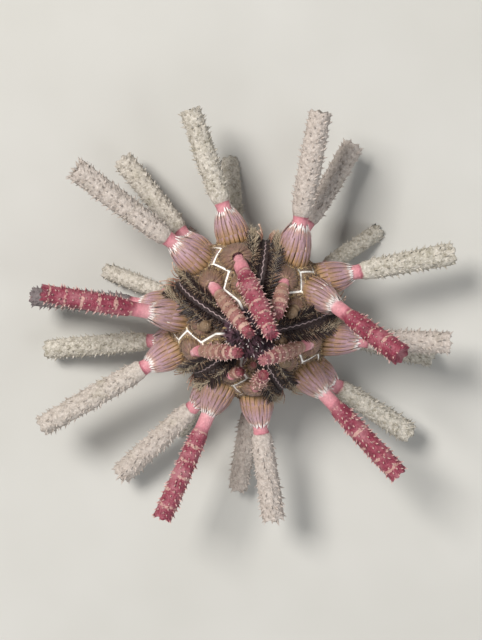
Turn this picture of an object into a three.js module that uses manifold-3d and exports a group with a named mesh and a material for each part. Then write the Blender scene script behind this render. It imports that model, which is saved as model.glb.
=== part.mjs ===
// A thorny pencil sea urchin: a round test of five plated sectors, each with two
// rows of thick thorny spines in skirts of flat bladed spines, and five narrow
// bands of fine spines between them. Millimetres, +Z up, resting on the floor.
import * as THREE from "three";
import Module from "manifold-3d";

const wasm = await Module();
wasm.setup();

const DEG = Math.PI / 180;
const GOLDEN_TURN = Math.PI * (3 - Math.sqrt(5));

// The test, a flattened ball that tips forward a little as it stands.
const TEST_RADIUS = 22.5;
const TEST_TOP = 14.5;
const TEST_BOTTOM = 13;
const TEST_LEAN = 8 * DEG;
const TEST_CENTRE_HEIGHT = 23.5;
const CORE_RADIUS = 3.2;
const STEM_RADIUS = 2.2;
const GAP = 0.34;

// Five rays. The first ambulacrum lies a little left of +Y, seen from above.
const RAYS = 5;
const RAY_STEP = 72;
const FIRST_AMBULACRUM = 79.5;
const COLUMN_OFFSET = 14.3;
const AMBULACRUM_HALF_AT_POLE = 1.6;
const AMBULACRUM_HALF_GAIN = 0.9;
const BODY_TOP_COLATITUDE = 12;
const BODY_END_COLATITUDE = 168;
const BODY_ROWS = 9;
const SECTOR_COLUMNS = 4;
const BAND_COLUMNS = 2;

// The apical disc, the peristome and the mouth.
const APICAL_RADIUS = 6.9;
const APICAL_SEAT = 11.2;
const CORE_END = -8.9;
const PERISTOME_RADIUS = 8.6;
const PERISTOME_SEAT = -9.2;
const MOUTH_RADIUS = 2.3;

// A primary spine: root, milled ring, smooth neck, then a thorny shaft. Sizes
// along it are millimetres or shares of its length, and widths are in necks.
const ROOT_DEPTH = 5;
const RING_AT = 1.3;
const RING_WIDTH = 1.3;
const NECK_AT = 2.7;
const COLLAR_SHARE = 0.26;
const SHAFT_WIDTH = 1.14;
const SHAFT_SWELL = 0.12;
const CROWN_WIDTH = 1.02;
const THORN_HEIGHT = 0.8;
const WHORL_SPACING = 7.2;
const SLIM_NECK = 1.45;
const FLOOR_CLEARANCE = 1.2;
const FLOOR_SINK = 0.7;

// The plates that carry the primary spines, raised on the test between grooves.
const PLATE_PROUD = 0.35;
const PLATE_DEPTH = 7;
const PLATE_MARGIN = 0.32;
const PLATE_FIRST = 19.5;
const PLATE_LAST = 156;
const SUTURE_BACK = 1.2;
const SUTURE_POINT = 1.8;

// Skirt blades: their share of the ring, how thick and how far they bow out.
const BLADE_SHARE = 0.95;
const BLADE_THICKNESS = 0.95;
const BLADE_BOW = 0.6;
const BLADE_SINK = 0.6;
const BLADE_TIP_OUT = 0.75;
const BLADE_BELLY = 0.3;
const BLADE_ROOT = 1.9;
const BLADE_ROOT_INWARD = 0.2;
const SKIRT_LEAN = 48 * DEG;

// Fine spines: two rows on each band, and a scatter on the apical disc.
const FINE_ROOT = 0.6;
const FINE_LENGTH = 4.2;
const FINE_FIRST = 24;
const FINE_STEP = 12.5;
const FINE_LAST = 146;
const FINE_SINK = 0.8;
const APICAL_FINE_COUNT = 12;
const APICAL_FINE_LENGTH = 1.7;
const CLEARANCE = 0.4;
const SEED = 20;

// Each tier of one sector: column, colatitude, skirt foot radius, skirt height,
// blades in the skirt, spine thickness at its neck and sides round the spine.
const TIERS = {
  bud: { column: 1, colatitude: 25, foot: 1.5, skirt: 0, blades: 0, neck: 0.8, sides: 6 },
  knob: { column: -1, colatitude: 38, foot: 2.4, skirt: 2.8, blades: 5, neck: 1.3, sides: 6 },
  inner: { column: 1, colatitude: 50, foot: 3.1, skirt: 4.4, blades: 6, neck: 1.6, sides: 8 },
  upper: { column: -1, colatitude: 64, foot: 3.7, skirt: 7.0, blades: 8, neck: 2.0, sides: 8 },
  outer: { column: 1, colatitude: 80, foot: 3.9, skirt: 8.0, blades: 8, neck: 2.05, sides: 8 },
  ambital: { column: -1, colatitude: 97, foot: 3.9, skirt: 8.0, blades: 8, neck: 2.0, sides: 8 },
  low: { column: 1, colatitude: 113, foot: 3.7, skirt: 7.0, blades: 6, neck: 1.9, sides: 6 },
  prop: { column: -1, colatitude: 127, foot: 3.1, skirt: 5.5, blades: 5, neck: 1.6, sides: 6 },
  foot: { column: 1, colatitude: 138, foot: 2.4, skirt: 4.5, blades: 4, neck: 1.4, sides: 6 },
  oral: { column: -1, colatitude: 146, foot: 1.9, skirt: 0, blades: 0, neck: 1.1, sides: 6 },
  lip: { column: 1, colatitude: 152, foot: 1.4, skirt: 0, blades: 0, neck: 0.8, sides: 6 },
};

// Where the spines of each sector point: heading seen from above, lift above the
// floor and length. The lift of those that prop the body comes from its height.
const SPINES = [
  { // the sector at the upper right
    bud: [223, 70, 2.6], knob: [225, 60, 4.5], inner: [256, 50, 14],
    upper: [-33, 34, 32], outer: [80, 2, 40], ambital: [10, -6, 38], low: [58, -20, 36],
    prop: [28, "floor", 30], foot: [60, "floor", 20], oral: [24, -58, 9], lip: [60, -66, 6],
  },
  { // the sector at the upper left
    bud: [295, 70, 2.6], knob: [300, 60, 5], inner: [-46, 50, 24],
    upper: [-61, 56, 34], outer: [142, 6, 42], ambital: [109, -4, 38], low: [131, -20, 37],
    prop: [96, "floor", 30], foot: [134, "floor", 20], oral: [96, -58, 9], lip: [132, -66, 6],
  },
  { // the sector at the left
    bud: [7, 70, 2.6], knob: [5, 60, 4.5], inner: [13, 55, 23],
    upper: [168, 10, 38], outer: [211, -5, 45], ambital: [178, -14, 41], low: [188, -24, 42],
    prop: [165, "floor", 30], foot: [206, "floor", 20], oral: [170, -58, 9], lip: [204, -66, 6],
  },
  { // the sector at the bottom left
    bud: [79, 70, 2.6], knob: [30, 55, 6.5], inner: [72, 66, 18],
    upper: [246, 6, 40], outer: [278, -5, 37], ambital: [226, -16, 42], low: [262, -22, 36],
    prop: [240, "floor", 30], foot: [276, "floor", 20], oral: [242, -58, 9], lip: [276, -66, 6],
  },
  { // the sector at the bottom right
    bud: [151, 70, 2.6], knob: [140, 60, 4.5], inner: [184, 55, 24],
    upper: [-47, 6, 39], outer: [-2, -2, 34], ambital: [-36, -16, 38], low: [-18, -22, 36],
    prop: [-50, "floor", 30], foot: [-14, "floor", 20], oral: [-46, -58, 9], lip: [-12, -66, 6],
  },
];

// A seeded random draw between 0 and 1.
let drawn = SEED;
function random() {
  drawn = (drawn * 1664525 + 1013904223) % 4294967296;
  return drawn / 4294967296;
}

// A place in the test's own frame, turned to its lean and raised to its height.
function stand(x, y, z) {
  const cos = Math.cos(TEST_LEAN);
  const sin = Math.sin(TEST_LEAN);
  return new THREE.Vector3(x, y * cos - z * sin, y * sin + z * cos + TEST_CENTRE_HEIGHT);
}

function testRadius(colatitude) {
  return TEST_RADIUS * Math.sin(colatitude * DEG);
}

function testHeight(colatitude) {
  const half = colatitude < 90 ? TEST_TOP : TEST_BOTTOM;
  return half * Math.cos(colatitude * DEG);
}

function onTest(azimuth, colatitude, proud = 0) {
  const radius = testRadius(colatitude) + proud * Math.sin(colatitude * DEG);
  const x = radius * Math.cos(azimuth * DEG);
  const y = radius * Math.sin(azimuth * DEG);
  return stand(x, y, testHeight(colatitude) + proud * Math.cos(colatitude * DEG));
}

// The outward normal of the test at a place on it.
function testNormal(azimuth, colatitude) {
  const half = colatitude < 90 ? TEST_TOP : TEST_BOTTOM;
  const out = Math.sin(colatitude * DEG) / TEST_RADIUS;
  const x = out * Math.cos(azimuth * DEG);
  const y = out * Math.sin(azimuth * DEG);
  const tip = stand(x, y, Math.cos(colatitude * DEG) / half);
  return tip.sub(stand(0, 0, 0)).normalize();
}

// A closed body through rings of points. A ring of one point is a tip.
function loft(rings) {
  const points = rings.flat();
  const faces = [];
  let start = 0;
  for (let i = 0; i + 1 < rings.length; i += 1) {
    const here = rings[i].length;
    const there = rings[i + 1].length;
    const next = start + here;
    for (let j = 0; j < Math.max(here, there); j += 1) {
      const a = start + (j % here);
      const b = start + ((j + 1) % here);
      const c = next + (j % there);
      const d = next + ((j + 1) % there);
      if (here > 1) faces.push([a, b, c]);
      if (there > 1) faces.push([b, d, c]);
    }
    start = next;
  }
  const last = rings[rings.length - 1].length;
  for (let j = 1; j + 1 < rings[0].length; j += 1) faces.push([0, j + 1, j]);
  for (let j = 1; j + 1 < last; j += 1) faces.push([start, start + j, start + j + 1]);
  return solidOf(points, faces);
}

// Points and faces as a solid, with the faces turned to point outwards.
function solidOf(points, faces) {
  let volume = 0;
  for (const [a, b, c] of faces) {
    volume += points[a].dot(points[b].clone().cross(points[c]));
  }
  const turned = volume > 0 ? faces : faces.map(([a, b, c]) => [a, c, b]);
  const vertProperties = new Float32Array(points.flatMap((p) => [p.x, p.y, p.z]));
  const triVerts = new Uint32Array(turned.flat());
  return new wasm.Manifold(new wasm.Mesh({ numProp: 3, vertProperties, triVerts }));
}

function joined(solids) {
  let whole = solids[0];
  for (const solid of solids.slice(1)) whole = whole.add(solid);
  return whole;
}

// The largest closed piece of a solid, as a geometry.
function largest(solid) {
  const pieces = solid.decompose();
  pieces.sort((a, b) => b.volume() - a.volume());
  return pieces[0];
}

function geometryOf(solid) {
  const mesh = largest(solid).getMesh();
  const geometry = new THREE.BufferGeometry();
  const places = new THREE.BufferAttribute(Float32Array.from(mesh.vertProperties), 3);
  geometry.setAttribute("position", places);
  geometry.setIndex(Array.from(mesh.triVerts));
  geometry.computeVertexNormals();
  return geometry;
}

// A ring of points round an axis. The size may differ from point to point.
function ring(centre, right, up, sides, sizeAt, turn = 0) {
  return Array.from({ length: sides }, (_, j) => {
    const angle = ((j + turn) / sides) * 2 * Math.PI;
    const size = sizeAt(j);
    const along = right.clone().multiplyScalar(size * Math.cos(angle));
    return centre.clone().add(along).addScaledVector(up, size * Math.sin(angle));
  });
}

// Two directions square to an axis and to each other.
function square(axis) {
  const helper = Math.abs(axis.z) < 0.9 ? new THREE.Vector3(0, 0, 1) : new THREE.Vector3(1, 0, 0);
  const right = helper.cross(axis).normalize();
  return [right, axis.clone().cross(right)];
}

// A lathed body round the test's own axis, from radius and height pairs.
function turnedOnTest(profile, sides) {
  const rings = profile.map(([radius, height]) => {
    if (radius === 0) return [stand(0, 0, height)];
    return Array.from({ length: sides }, (_, j) => {
      const angle = (j / sides) * 2 * Math.PI;
      return stand(radius * Math.cos(angle), radius * Math.sin(angle), height);
    });
  });
  return loft(rings);
}

function ambulacrumHalf(colatitude) {
  return AMBULACRUM_HALF_AT_POLE + AMBULACRUM_HALF_GAIN * Math.sin(colatitude * DEG);
}

// A sector of the test between two edges, as horizontal slices.
function sector(from, to, sideGap, columns) {
  const rings = [];
  for (let i = 0; i <= BODY_ROWS; i += 1) {
    const share = i / BODY_ROWS;
    const colatitude = BODY_TOP_COLATITUDE + share * (BODY_END_COLATITUDE - BODY_TOP_COLATITUDE);
    const radius = testRadius(colatitude);
    const trim = ((ambulacrumHalf(colatitude) + sideGap) / radius) / DEG;
    const begin = from(trim);
    const end = to(trim);
    const slice = [];
    for (let j = 0; j <= columns; j += 1) {
      slice.push(onTest(begin + ((end - begin) * j) / columns, colatitude));
    }
    const height = testHeight(colatitude);
    for (const azimuth of [end, begin]) {
      const x = CORE_RADIUS * Math.cos(azimuth * DEG);
      slice.push(stand(x, CORE_RADIUS * Math.sin(azimuth * DEG), height));
    }
    rings.push(slice);
  }
  return loft(rings);
}

// The seats of the apical disc and the peristome, cut out of every sector.
const apicalSeat = turnedOnTest([
  [0, APICAL_SEAT - GAP], [APICAL_RADIUS + GAP, APICAL_SEAT - GAP],
  [APICAL_RADIUS + GAP, TEST_TOP + 5], [0, TEST_TOP + 5],
], 30);
const peristomeSeat = turnedOnTest([
  [0, -TEST_BOTTOM - 5], [PERISTOME_RADIUS + GAP, -TEST_BOTTOM - 5],
  [PERISTOME_RADIUS + GAP, PERISTOME_SEAT + GAP], [0, PERISTOME_SEAT + GAP],
], 30);

// The direction of a spine from its heading and lift.
function pointing(heading, lift) {
  const flat = Math.cos(lift);
  return new THREE.Vector3(
    flat * Math.cos(heading * DEG), flat * Math.sin(heading * DEG), Math.sin(lift));
}

// Where a spine stands and points, from its tier and its sector.
function placeSpine(sectorIndex, name) {
  const tier = TIERS[name];
  const middle = FIRST_AMBULACRUM - RAY_STEP / 2 + RAY_STEP * sectorIndex;
  const azimuth = middle + tier.column * COLUMN_OFFSET;
  const [heading, lift, length] = SPINES[sectorIndex][name];
  const root = onTest(azimuth, tier.colatitude);
  const resting = lift === "floor";
  let angle = resting ? -Math.asin((root.z + FLOOR_SINK) / length) : lift * DEG;
  if (!resting) {
    const lowest = Math.asin((FLOOR_CLEARANCE + 2 * tier.neck - root.z) / length);
    angle = Math.max(angle, Number.isNaN(lowest) ? -Math.PI / 2 : lowest);
  }
  const normal = testNormal(azimuth, tier.colatitude);
  return { name, tier, root, normal, axis: pointing(heading, angle), length };
}

// The colatitudes where a tier's plate meets its neighbours in the same column.
function plateEnds(name) {
  const { column, colatitude } = TIERS[name];
  const same = Object.values(TIERS).filter((tier) => tier.column === column);
  const rank = same.findIndex((tier) => tier.colatitude === colatitude);
  const above = rank > 0 ? (same[rank - 1].colatitude + colatitude) / 2 : PLATE_FIRST;
  const below = rank + 1 < same.length ? (same[rank + 1].colatitude + colatitude) / 2 : PLATE_LAST;
  return [above, below];
}

// One plate: flat on top, square to the test where its spine stands, with a
// point that reaches over the middle of the sector into the zigzag suture.
function plate(middle, spine) {
  const { root, normal, tier, name } = spine;
  const [above, below] = plateEnds(name);
  const edgeAt = (colatitude) => {
    const trim = (ambulacrumHalf(colatitude) + GAP / 2) / testRadius(colatitude) / DEG;
    return RAY_STEP / 2 - trim;
  };
  const corners = [
    [edgeAt(above), above], [edgeAt(below), below],
    [SUTURE_BACK, below], [-SUTURE_POINT, tier.colatitude], [SUTURE_BACK, above],
  ].map(([offset, colatitude]) => onTest(middle + tier.column * offset, colatitude));
  const centre = corners.reduce((sum, p) => sum.add(p), new THREE.Vector3()).divideScalar(corners.length);
  const top = corners.map((corner) => {
    const inward = centre.clone().sub(corner).normalize();
    const place = corner.clone().addScaledVector(inward, PLATE_MARGIN);
    return place.addScaledVector(normal, PLATE_PROUD - place.clone().sub(root).dot(normal));
  });
  return loft([[centre.clone().addScaledVector(normal, -PLATE_DEPTH)], top]);
}

// A primary spine. Each whorl's thorns are every other corner of its ring, and
// the next whorl has them on the corners between.
function primarySpine(spine) {
  const { root, axis, normal, length, tier } = spine;
  const [right, up] = square(axis);
  const slim = tier.neck < SLIM_NECK;
  const { sides } = tier;
  const at = (along, sizeAt, turn = 0) => ring(
    root.clone().addScaledVector(axis, along), right, up, sides, sizeAt, turn);
  const rings = [[root.clone().addScaledVector(normal, -ROOT_DEPTH)]];
  rings.push(at(RING_AT, () => tier.neck * RING_WIDTH));
  if (length > 2 * NECK_AT) rings.push(at(NECK_AT, () => tier.neck));
  const collar = Math.max(length * COLLAR_SHARE, NECK_AT + 1);
  const shaft = length - collar;
  if (length > 2 * NECK_AT + 2) rings.push(at(collar, () => tier.neck));
  const whorls = slim ? 1 : Math.round(shaft / WHORL_SPACING);
  for (let k = 0; k < whorls; k += 1) {
    const share = (k + 0.5) / whorls;
    const size = tier.neck * (SHAFT_WIDTH + SHAFT_SWELL * Math.sin(share * Math.PI));
    const thorn = slim ? 0 : THORN_HEIGHT;
    rings.push(at(collar + shaft * share, (j) => size + ((j + k) % 2 ? thorn : 0)));
  }
  rings.push(at(length, () => tier.neck * (slim ? 0.7 : CROWN_WIDTH)));
  return loft(rings);
}

// The way a skirt leans: with its spine, but no further over than its blades can.
function skirtRise(spine) {
  const lean = spine.axis.angleTo(spine.normal);
  if (lean < SKIRT_LEAN) return spine.axis.clone();
  const tilt = new THREE.Vector3().crossVectors(spine.normal, spine.axis).normalize();
  return spine.normal.clone().applyAxisAngle(tilt, SKIRT_LEAN);
}

// The foot and the tip of a skirt's blade at an angle round its spine.
function bladeEnds(spine, angle, footOut, tipOut, sink, height) {
  const { root, normal } = spine;
  const rise = skirtRise(spine);
  const [right, up] = square(rise);
  const ray = right.clone().multiplyScalar(Math.cos(angle)).addScaledVector(up, Math.sin(angle));
  const flat = ray.clone().addScaledVector(normal, -ray.dot(normal)).normalize();
  const foot = root.clone().addScaledVector(flat, footOut).addScaledVector(normal, -sink);
  const tip = root.clone().addScaledVector(rise, height).addScaledVector(ray, tipOut);
  return [foot, tip, ray];
}

// One flat blade, sunk to a point in its plate, widest low down, bowed outwards
// and pointed at its tip.
function blade(foot, tip, ray, width, spine) {
  const along = tip.clone().sub(foot).normalize();
  const side = along.clone().cross(ray).normalize();
  const face = side.clone().cross(along);
  if (face.dot(ray) < 0) face.negate();
  const section = (share, wide) => {
    const centre = foot.clone().lerp(tip, share).addScaledVector(face, BLADE_BOW * Math.sin(share * Math.PI));
    const edges = [1, -1].map((across) => centre.clone().addScaledVector(side, (across * wide) / 2));
    return [...edges, centre.clone().addScaledVector(face, -BLADE_THICKNESS)];
  };
  const sunk = foot.clone().lerp(spine.root, BLADE_ROOT_INWARD).addScaledVector(spine.normal, -BLADE_ROOT);
  return loft([[sunk], section(BLADE_BELLY, width), [tip]]);
}

function skirt(spine) {
  const { tier } = spine;
  const width = ((2 * Math.PI * tier.foot) / tier.blades) * BLADE_SHARE;
  return Array.from({ length: tier.blades }, (_, j) => {
    const angle = ((j + 0.16 * (random() - 0.5)) / tier.blades) * 2 * Math.PI;
    const height = tier.skirt * (0.92 + 0.16 * random());
    const tipOut = tier.neck + BLADE_TIP_OUT;
    const [foot, tip, ray] = bladeEnds(spine, angle, tier.foot, tipOut, BLADE_SINK, height);
    return blade(foot, tip, ray, width, spine);
  });
}

// The room that a skirt and its spine take, with clearance round them.
function reachOf(spine) {
  const { root, axis, tier, length } = spine;
  const out = BLADE_BOW + BLADE_THICKNESS / 2 + CLEARANCE;
  const rows = [0, BLADE_BELLY, 1].map((share) => Array.from({ length: 12 }, (_, j) => {
    const [foot, tip, ray] = bladeEnds(
      spine, (j / 12) * 2 * Math.PI, tier.foot, tier.neck + BLADE_TIP_OUT, BLADE_SINK, tier.skirt * 1.1);
    return foot.lerp(tip, share).addScaledVector(ray, out);
  }));
  const [right, up] = square(axis);
  const thick = tier.neck * (SHAFT_WIDTH + SHAFT_SWELL) + THORN_HEIGHT + CLEARANCE;
  const ends = [0, length + CLEARANCE].map((along) => ring(
    root.clone().addScaledVector(axis, along), right, up, 8, () => thick));
  return tier.blades > 0 ? loft(rows).add(loft(ends)) : loft(ends);
}

// A fine spine: three-sided, from a sunk root to a point.
function fineSpine(root, axis, length, thick) {
  const [right, up] = square(axis);
  const foot = root.clone().addScaledVector(axis, -FINE_SINK);
  return loft([ring(foot, right, up, 3, () => thick), [root.clone().addScaledVector(axis, length)]]);
}

// Two rows of fine spines on a band, splayed away from its middle and the apex.
function bandSpines(middle) {
  const spines = [];
  for (let colatitude = FINE_FIRST; colatitude <= FINE_LAST; colatitude += FINE_STEP) {
    for (const row of [-1, 1]) {
      const at = colatitude + (row > 0 ? FINE_STEP / 2 : 0);
      const offset = (ambulacrumHalf(at) * 0.5) / testRadius(at) / DEG;
      const root = onTest(middle + row * offset, at);
      const normal = testNormal(middle, at);
      const down = onTest(middle, at + 2).sub(onTest(middle, at)).normalize();
      const side = down.clone().cross(normal).multiplyScalar(-row);
      const axis = side.multiplyScalar(0.72).addScaledVector(down, 0.42).addScaledVector(normal, 0.5).normalize();
      spines.push(fineSpine(root, axis, FINE_LENGTH * (0.9 + 0.2 * random()), FINE_ROOT));
    }
  }
  return joined(spines);
}

const floorCut = (solid) => solid.trimByPlane([0, 0, 1], 0);

const URCHIN_COLOURS = {
  interambulacrum: [0x9c6f78, 0.62], ambulacrum: [0x6d5a50, 0.7], apical: [0x463a40, 0.6],
  peristome: [0x8d7a6c, 0.7], teeth: [0xe9e4d6, 0.35],
};

function named(name, solid, key) {
  const [color, roughness] = URCHIN_COLOURS[key];
  const material = new THREE.MeshStandardMaterial({ color, roughness, metalness: 0 });
  const mesh = new THREE.Mesh(geometryOf(solid), material);
  mesh.name = name;
  return mesh;
}

const urchin = new THREE.Group();
const taken = [];

// Five plated sectors with their spines.
for (let k = 0; k < RAYS; k += 1) {
  const left = FIRST_AMBULACRUM - RAY_STEP + RAY_STEP * k;
  const body = sector((trim) => left + trim, (trim) => left + RAY_STEP - trim, GAP / 2, SECTOR_COLUMNS);
  const spines = Object.keys(TIERS).map((name) => placeSpine(k, name));
  const plates = spines.map((spine) => plate(left + RAY_STEP / 2, spine));
  const pieces = [joined([body, ...plates]).subtract(apicalSeat).subtract(peristomeSeat)];
  for (const spine of spines) {
    pieces.push(primarySpine(spine), ...skirt(spine));
    taken.push(reachOf(spine));
  }
  urchin.add(named(`interambulacrum_${k + 1}`, floorCut(joined(pieces)), "interambulacrum"));
}

// Five narrow bands between them, their fine spines cut clear of the skirts.
const takenRoom = joined(taken);
for (let k = 0; k < RAYS; k += 1) {
  const middle = FIRST_AMBULACRUM + RAY_STEP * k;
  const band = sector((trim) => middle - trim, (trim) => middle + trim, -GAP / 2, BAND_COLUMNS);
  const body = band.subtract(apicalSeat).subtract(peristomeSeat);
  const fine = bandSpines(middle).subtract(takenRoom);
  urchin.add(named(`ambulacrum_${k + 1}`, body.add(fine), "ambulacrum"));
}

// The apical disc, with the stem that fills the middle of the test.
const apicalDisc = turnedOnTest([
  [0, CORE_END], [STEM_RADIUS, CORE_END], [STEM_RADIUS, APICAL_SEAT],
  [APICAL_RADIUS, APICAL_SEAT], [APICAL_RADIUS, testHeight(18)],
  [APICAL_RADIUS * 0.55, TEST_TOP + 0.2], [0, TEST_TOP + 0.4],
], 20);
const apicalFine = Array.from({ length: APICAL_FINE_COUNT }, (_, j) => {
  const out = 0.88 * APICAL_RADIUS * Math.sqrt((j + 0.5) / APICAL_FINE_COUNT);
  const turn = j * GOLDEN_TURN;
  const place = [out * Math.cos(turn), out * Math.sin(turn)];
  const root = stand(...place, TEST_TOP - 0.3 * (out / APICAL_RADIUS) ** 2);
  const axis = stand(place[0] * 0.1, place[1] * 0.1, 1).sub(stand(0, 0, 0)).normalize();
  return fineSpine(root, axis, APICAL_FINE_LENGTH * (0.7 + 0.6 * random()), FINE_ROOT);
});
const apicalTop = joined(apicalFine).subtract(takenRoom);
urchin.add(named("apical_disc", apicalDisc.add(apicalTop), "apical"));

// The peristome, a ring of leathery skin round the mouth.
const peristome = turnedOnTest([
  [0, PERISTOME_SEAT], [PERISTOME_RADIUS, PERISTOME_SEAT],
  [PERISTOME_RADIUS, -11.8], [5.4, -12.9], [0, -13.1],
], 15).subtract(turnedOnTest([
  [0, -20], [MOUTH_RADIUS, -20], [MOUTH_RADIUS, PERISTOME_SEAT + 1], [0, PERISTOME_SEAT + 1],
], 20));
urchin.add(named("peristome", peristome, "peristome"));

// The teeth, five tips that close in a point.
const teeth = turnedOnTest([
  [0, -14.6], [1.2, -13.8], [MOUTH_RADIUS - GAP, -12.4], [MOUTH_RADIUS - GAP, PERISTOME_SEAT - 0.05],
  [0, PERISTOME_SEAT - 0.05],
], 10);
urchin.add(named("teeth", teeth, "teeth"));

// The origin goes to the middle of the footprint, on the floor.
const reach = new THREE.Box3().setFromObject(urchin, true);
const middle = reach.getCenter(new THREE.Vector3());
urchin.position.set(-middle.x, -middle.y, -reach.min.z);

export default urchin;
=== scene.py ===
# %% [markdown]
# # A thorny pencil urchin, as a museum shows it
# A cidaroid urchin is a round shell of plates, the test. Each of its five wide
# sectors carries two rows of thick thorny spines, and every thick spine stands in
# a skirt of flat bladed ones. Five narrow bands of fine dark spines part the
# sectors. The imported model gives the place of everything; this file gives looks.

# %% Load the frame
import math
import bpy
import numpy as np
from mathutils import Matrix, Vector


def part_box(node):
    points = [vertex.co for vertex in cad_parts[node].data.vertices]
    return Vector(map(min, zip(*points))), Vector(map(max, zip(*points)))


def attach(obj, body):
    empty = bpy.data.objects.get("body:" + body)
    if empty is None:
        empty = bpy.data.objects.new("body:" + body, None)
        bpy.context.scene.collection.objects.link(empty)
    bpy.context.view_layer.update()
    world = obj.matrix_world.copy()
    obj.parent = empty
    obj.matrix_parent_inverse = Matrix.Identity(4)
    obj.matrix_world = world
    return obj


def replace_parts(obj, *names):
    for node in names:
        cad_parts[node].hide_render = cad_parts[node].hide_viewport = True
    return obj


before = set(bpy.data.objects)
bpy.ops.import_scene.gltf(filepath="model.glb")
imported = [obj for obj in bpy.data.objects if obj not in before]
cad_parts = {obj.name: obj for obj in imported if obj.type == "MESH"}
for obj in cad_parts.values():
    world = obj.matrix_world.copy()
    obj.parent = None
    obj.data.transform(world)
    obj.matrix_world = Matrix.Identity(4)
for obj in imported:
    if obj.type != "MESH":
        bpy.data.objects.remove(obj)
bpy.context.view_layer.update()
print("the frame holds", len(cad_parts), "nodes")

# %% [markdown]
# ## The test as a formula
# The test is a flattened ball that leans a little. A place on it is an azimuth
# round its axis and a colatitude down from its top, so every piece below can be
# rooted by two angles. The teeth lie on the axis, so their box in the frame tells
# where that axis stands.

# %% Driving sizes, in millimetres, and angles in degrees
MM = 0.001
DEG = math.pi / 180     # turns degrees into the radians that sines take
TEST_RADIUS = 22.5
TEST_TOP = 14.5
TEST_BOTTOM = 13.0
TEST_LEAN = 8 * DEG
TEST_CENTRE_HEIGHT = 23.5
RAY_STEP = 72.0
FIRST_BAND = 79.5
COLUMN_OFFSET = 14.3
BAND_HALF_AT_POLE = 1.6
BAND_HALF_GAIN = 0.9
# radius and height of each ring of the teeth, as in the solids
TEETH_RINGS = np.array([[0, -14.6], [1.2, -13.8], [1.96, -12.4], [1.96, -9.25]])
TEETH_SIDES = 10
# no point of a piece goes lower than this, so nothing dips into the floor
LOWEST = 0.02
print("the test is", 2 * TEST_RADIUS, "mm across and", TEST_TOP + TEST_BOTTOM, "mm high")


# %% Directions and turns
def unit(vectors):
    """Each vector divided by its own length."""
    return vectors / np.linalg.norm(vectors, axis=-1, keepdims=True)


def turns(count):
    """The angles that cut a full turn into equal parts."""
    return np.arange(count) / count * 2 * math.pi


def lean(points):
    """Points of the upright test, turned about X by the test's lean."""
    cos, sin = math.cos(TEST_LEAN), math.sin(TEST_LEAN)
    x, y, z = np.moveaxis(np.asarray(points, float), -1, 0)
    return np.stack([x, y * cos - z * sin, y * sin + z * cos], -1)


def square(axis):
    """Two directions square to each axis and to each other."""
    helper = np.where(np.abs(axis[..., 2:]) < 0.9, [0.0, 0, 1], [1.0, 0, 0])
    right = unit(np.cross(helper, axis))
    return right, np.cross(axis, right)


def ray_at(turn, axis):
    """The way out from an axis at an angle: cosine times right plus sine times up."""
    right, up = square(axis)
    return np.cos(turn)[..., None] * right + np.sin(turn)[..., None] * up


print("a quarter turn is", round(float(turns(4)[1]), 3), "radians")


# %% Where the test's axis stands
def teeth_corner():
    """The lowest corner of the teeth before the part was moved onto its origin."""
    turn = turns(TEETH_SIDES)
    radius, height = TEETH_RINGS[:, :1], TEETH_RINGS[:, 1:]
    points = np.stack([radius * np.cos(turn), radius * np.sin(turn), height + 0 * turn], -1)
    return lean(points).reshape(-1, 3).min(0) + [0, 0, TEST_CENTRE_HEIGHT]


SHIFT = np.array(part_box("teeth")[0]) / MM - teeth_corner()
SHIFT[2] = 0
CENTRE = SHIFT + [0, 0, TEST_CENTRE_HEIGHT]
print("the test's axis stands at", SHIFT.round(2), "mm")


# %% Places and directions on the test
def test_radius(colatitude):
    """Distance from the axis: the radius times the sine of the colatitude."""
    return TEST_RADIUS * np.sin(colatitude * DEG)


def test_half(colatitude):
    """The half height that holds above or below the widest line."""
    return np.where(np.asarray(colatitude) < 90, TEST_TOP, TEST_BOTTOM)


def upright(out, azimuth, height):
    """A distance from the axis, an azimuth and a height as X, Y and Z."""
    return np.stack(np.broadcast_arrays(
        out * np.cos(azimuth * DEG), out * np.sin(azimuth * DEG), height), -1)


def on_test(azimuth, colatitude, proud=0.0):
    """A place on the test, raised along the sphere's ray by some millimetres."""
    sine, cosine = np.sin(colatitude * DEG), np.cos(colatitude * DEG)
    height = (test_half(colatitude) + proud) * cosine
    return lean(upright((TEST_RADIUS + proud) * sine, azimuth, height)) + CENTRE


def test_normal(azimuth, colatitude):
    """The gradient of the ball's equation, made one long."""
    sine, cosine = np.sin(colatitude * DEG), np.cos(colatitude * DEG)
    return unit(lean(upright(sine / TEST_RADIUS, azimuth, cosine / test_half(colatitude))))


def test_down(azimuth, colatitude):
    """The way down the test from the apex, square to the normal."""
    return unit(on_test(azimuth, colatitude + 0.5) - on_test(azimuth, colatitude - 0.5))


def sector_middle(k):
    """Azimuth of the middle of sector k."""
    return FIRST_BAND - RAY_STEP / 2 + RAY_STEP * k


def band_middle(k):
    """Azimuth of the middle of band k."""
    return FIRST_BAND + RAY_STEP * k


def band_half(colatitude):
    """Half the width of a band: narrow at the poles, wider at the widest line."""
    return BAND_HALF_AT_POLE + BAND_HALF_GAIN * np.sin(colatitude * DEG)


print("a band is", 2 * float(band_half(90.0)), "mm wide at the widest line")


# %% Millimetres down the test, from a table of small steps
ARC_STEPS = np.linspace(0, 180, 1801)
ARC_TABLE = np.concatenate([[0], np.cumsum(np.linalg.norm(
    np.diff(on_test(0.0, ARC_STEPS), axis=0), axis=-1))])


def arc(colatitude):
    """Millimetres down the test from its top to a colatitude."""
    return np.interp(colatitude, ARC_STEPS, ARC_TABLE)


def colatitude_at(down):
    """The colatitude that lies some millimetres down the test."""
    return np.interp(down, ARC_TABLE, ARC_STEPS)


print("from apex to mouth the test measures", round(float(ARC_TABLE[-1]), 1), "mm")

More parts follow.
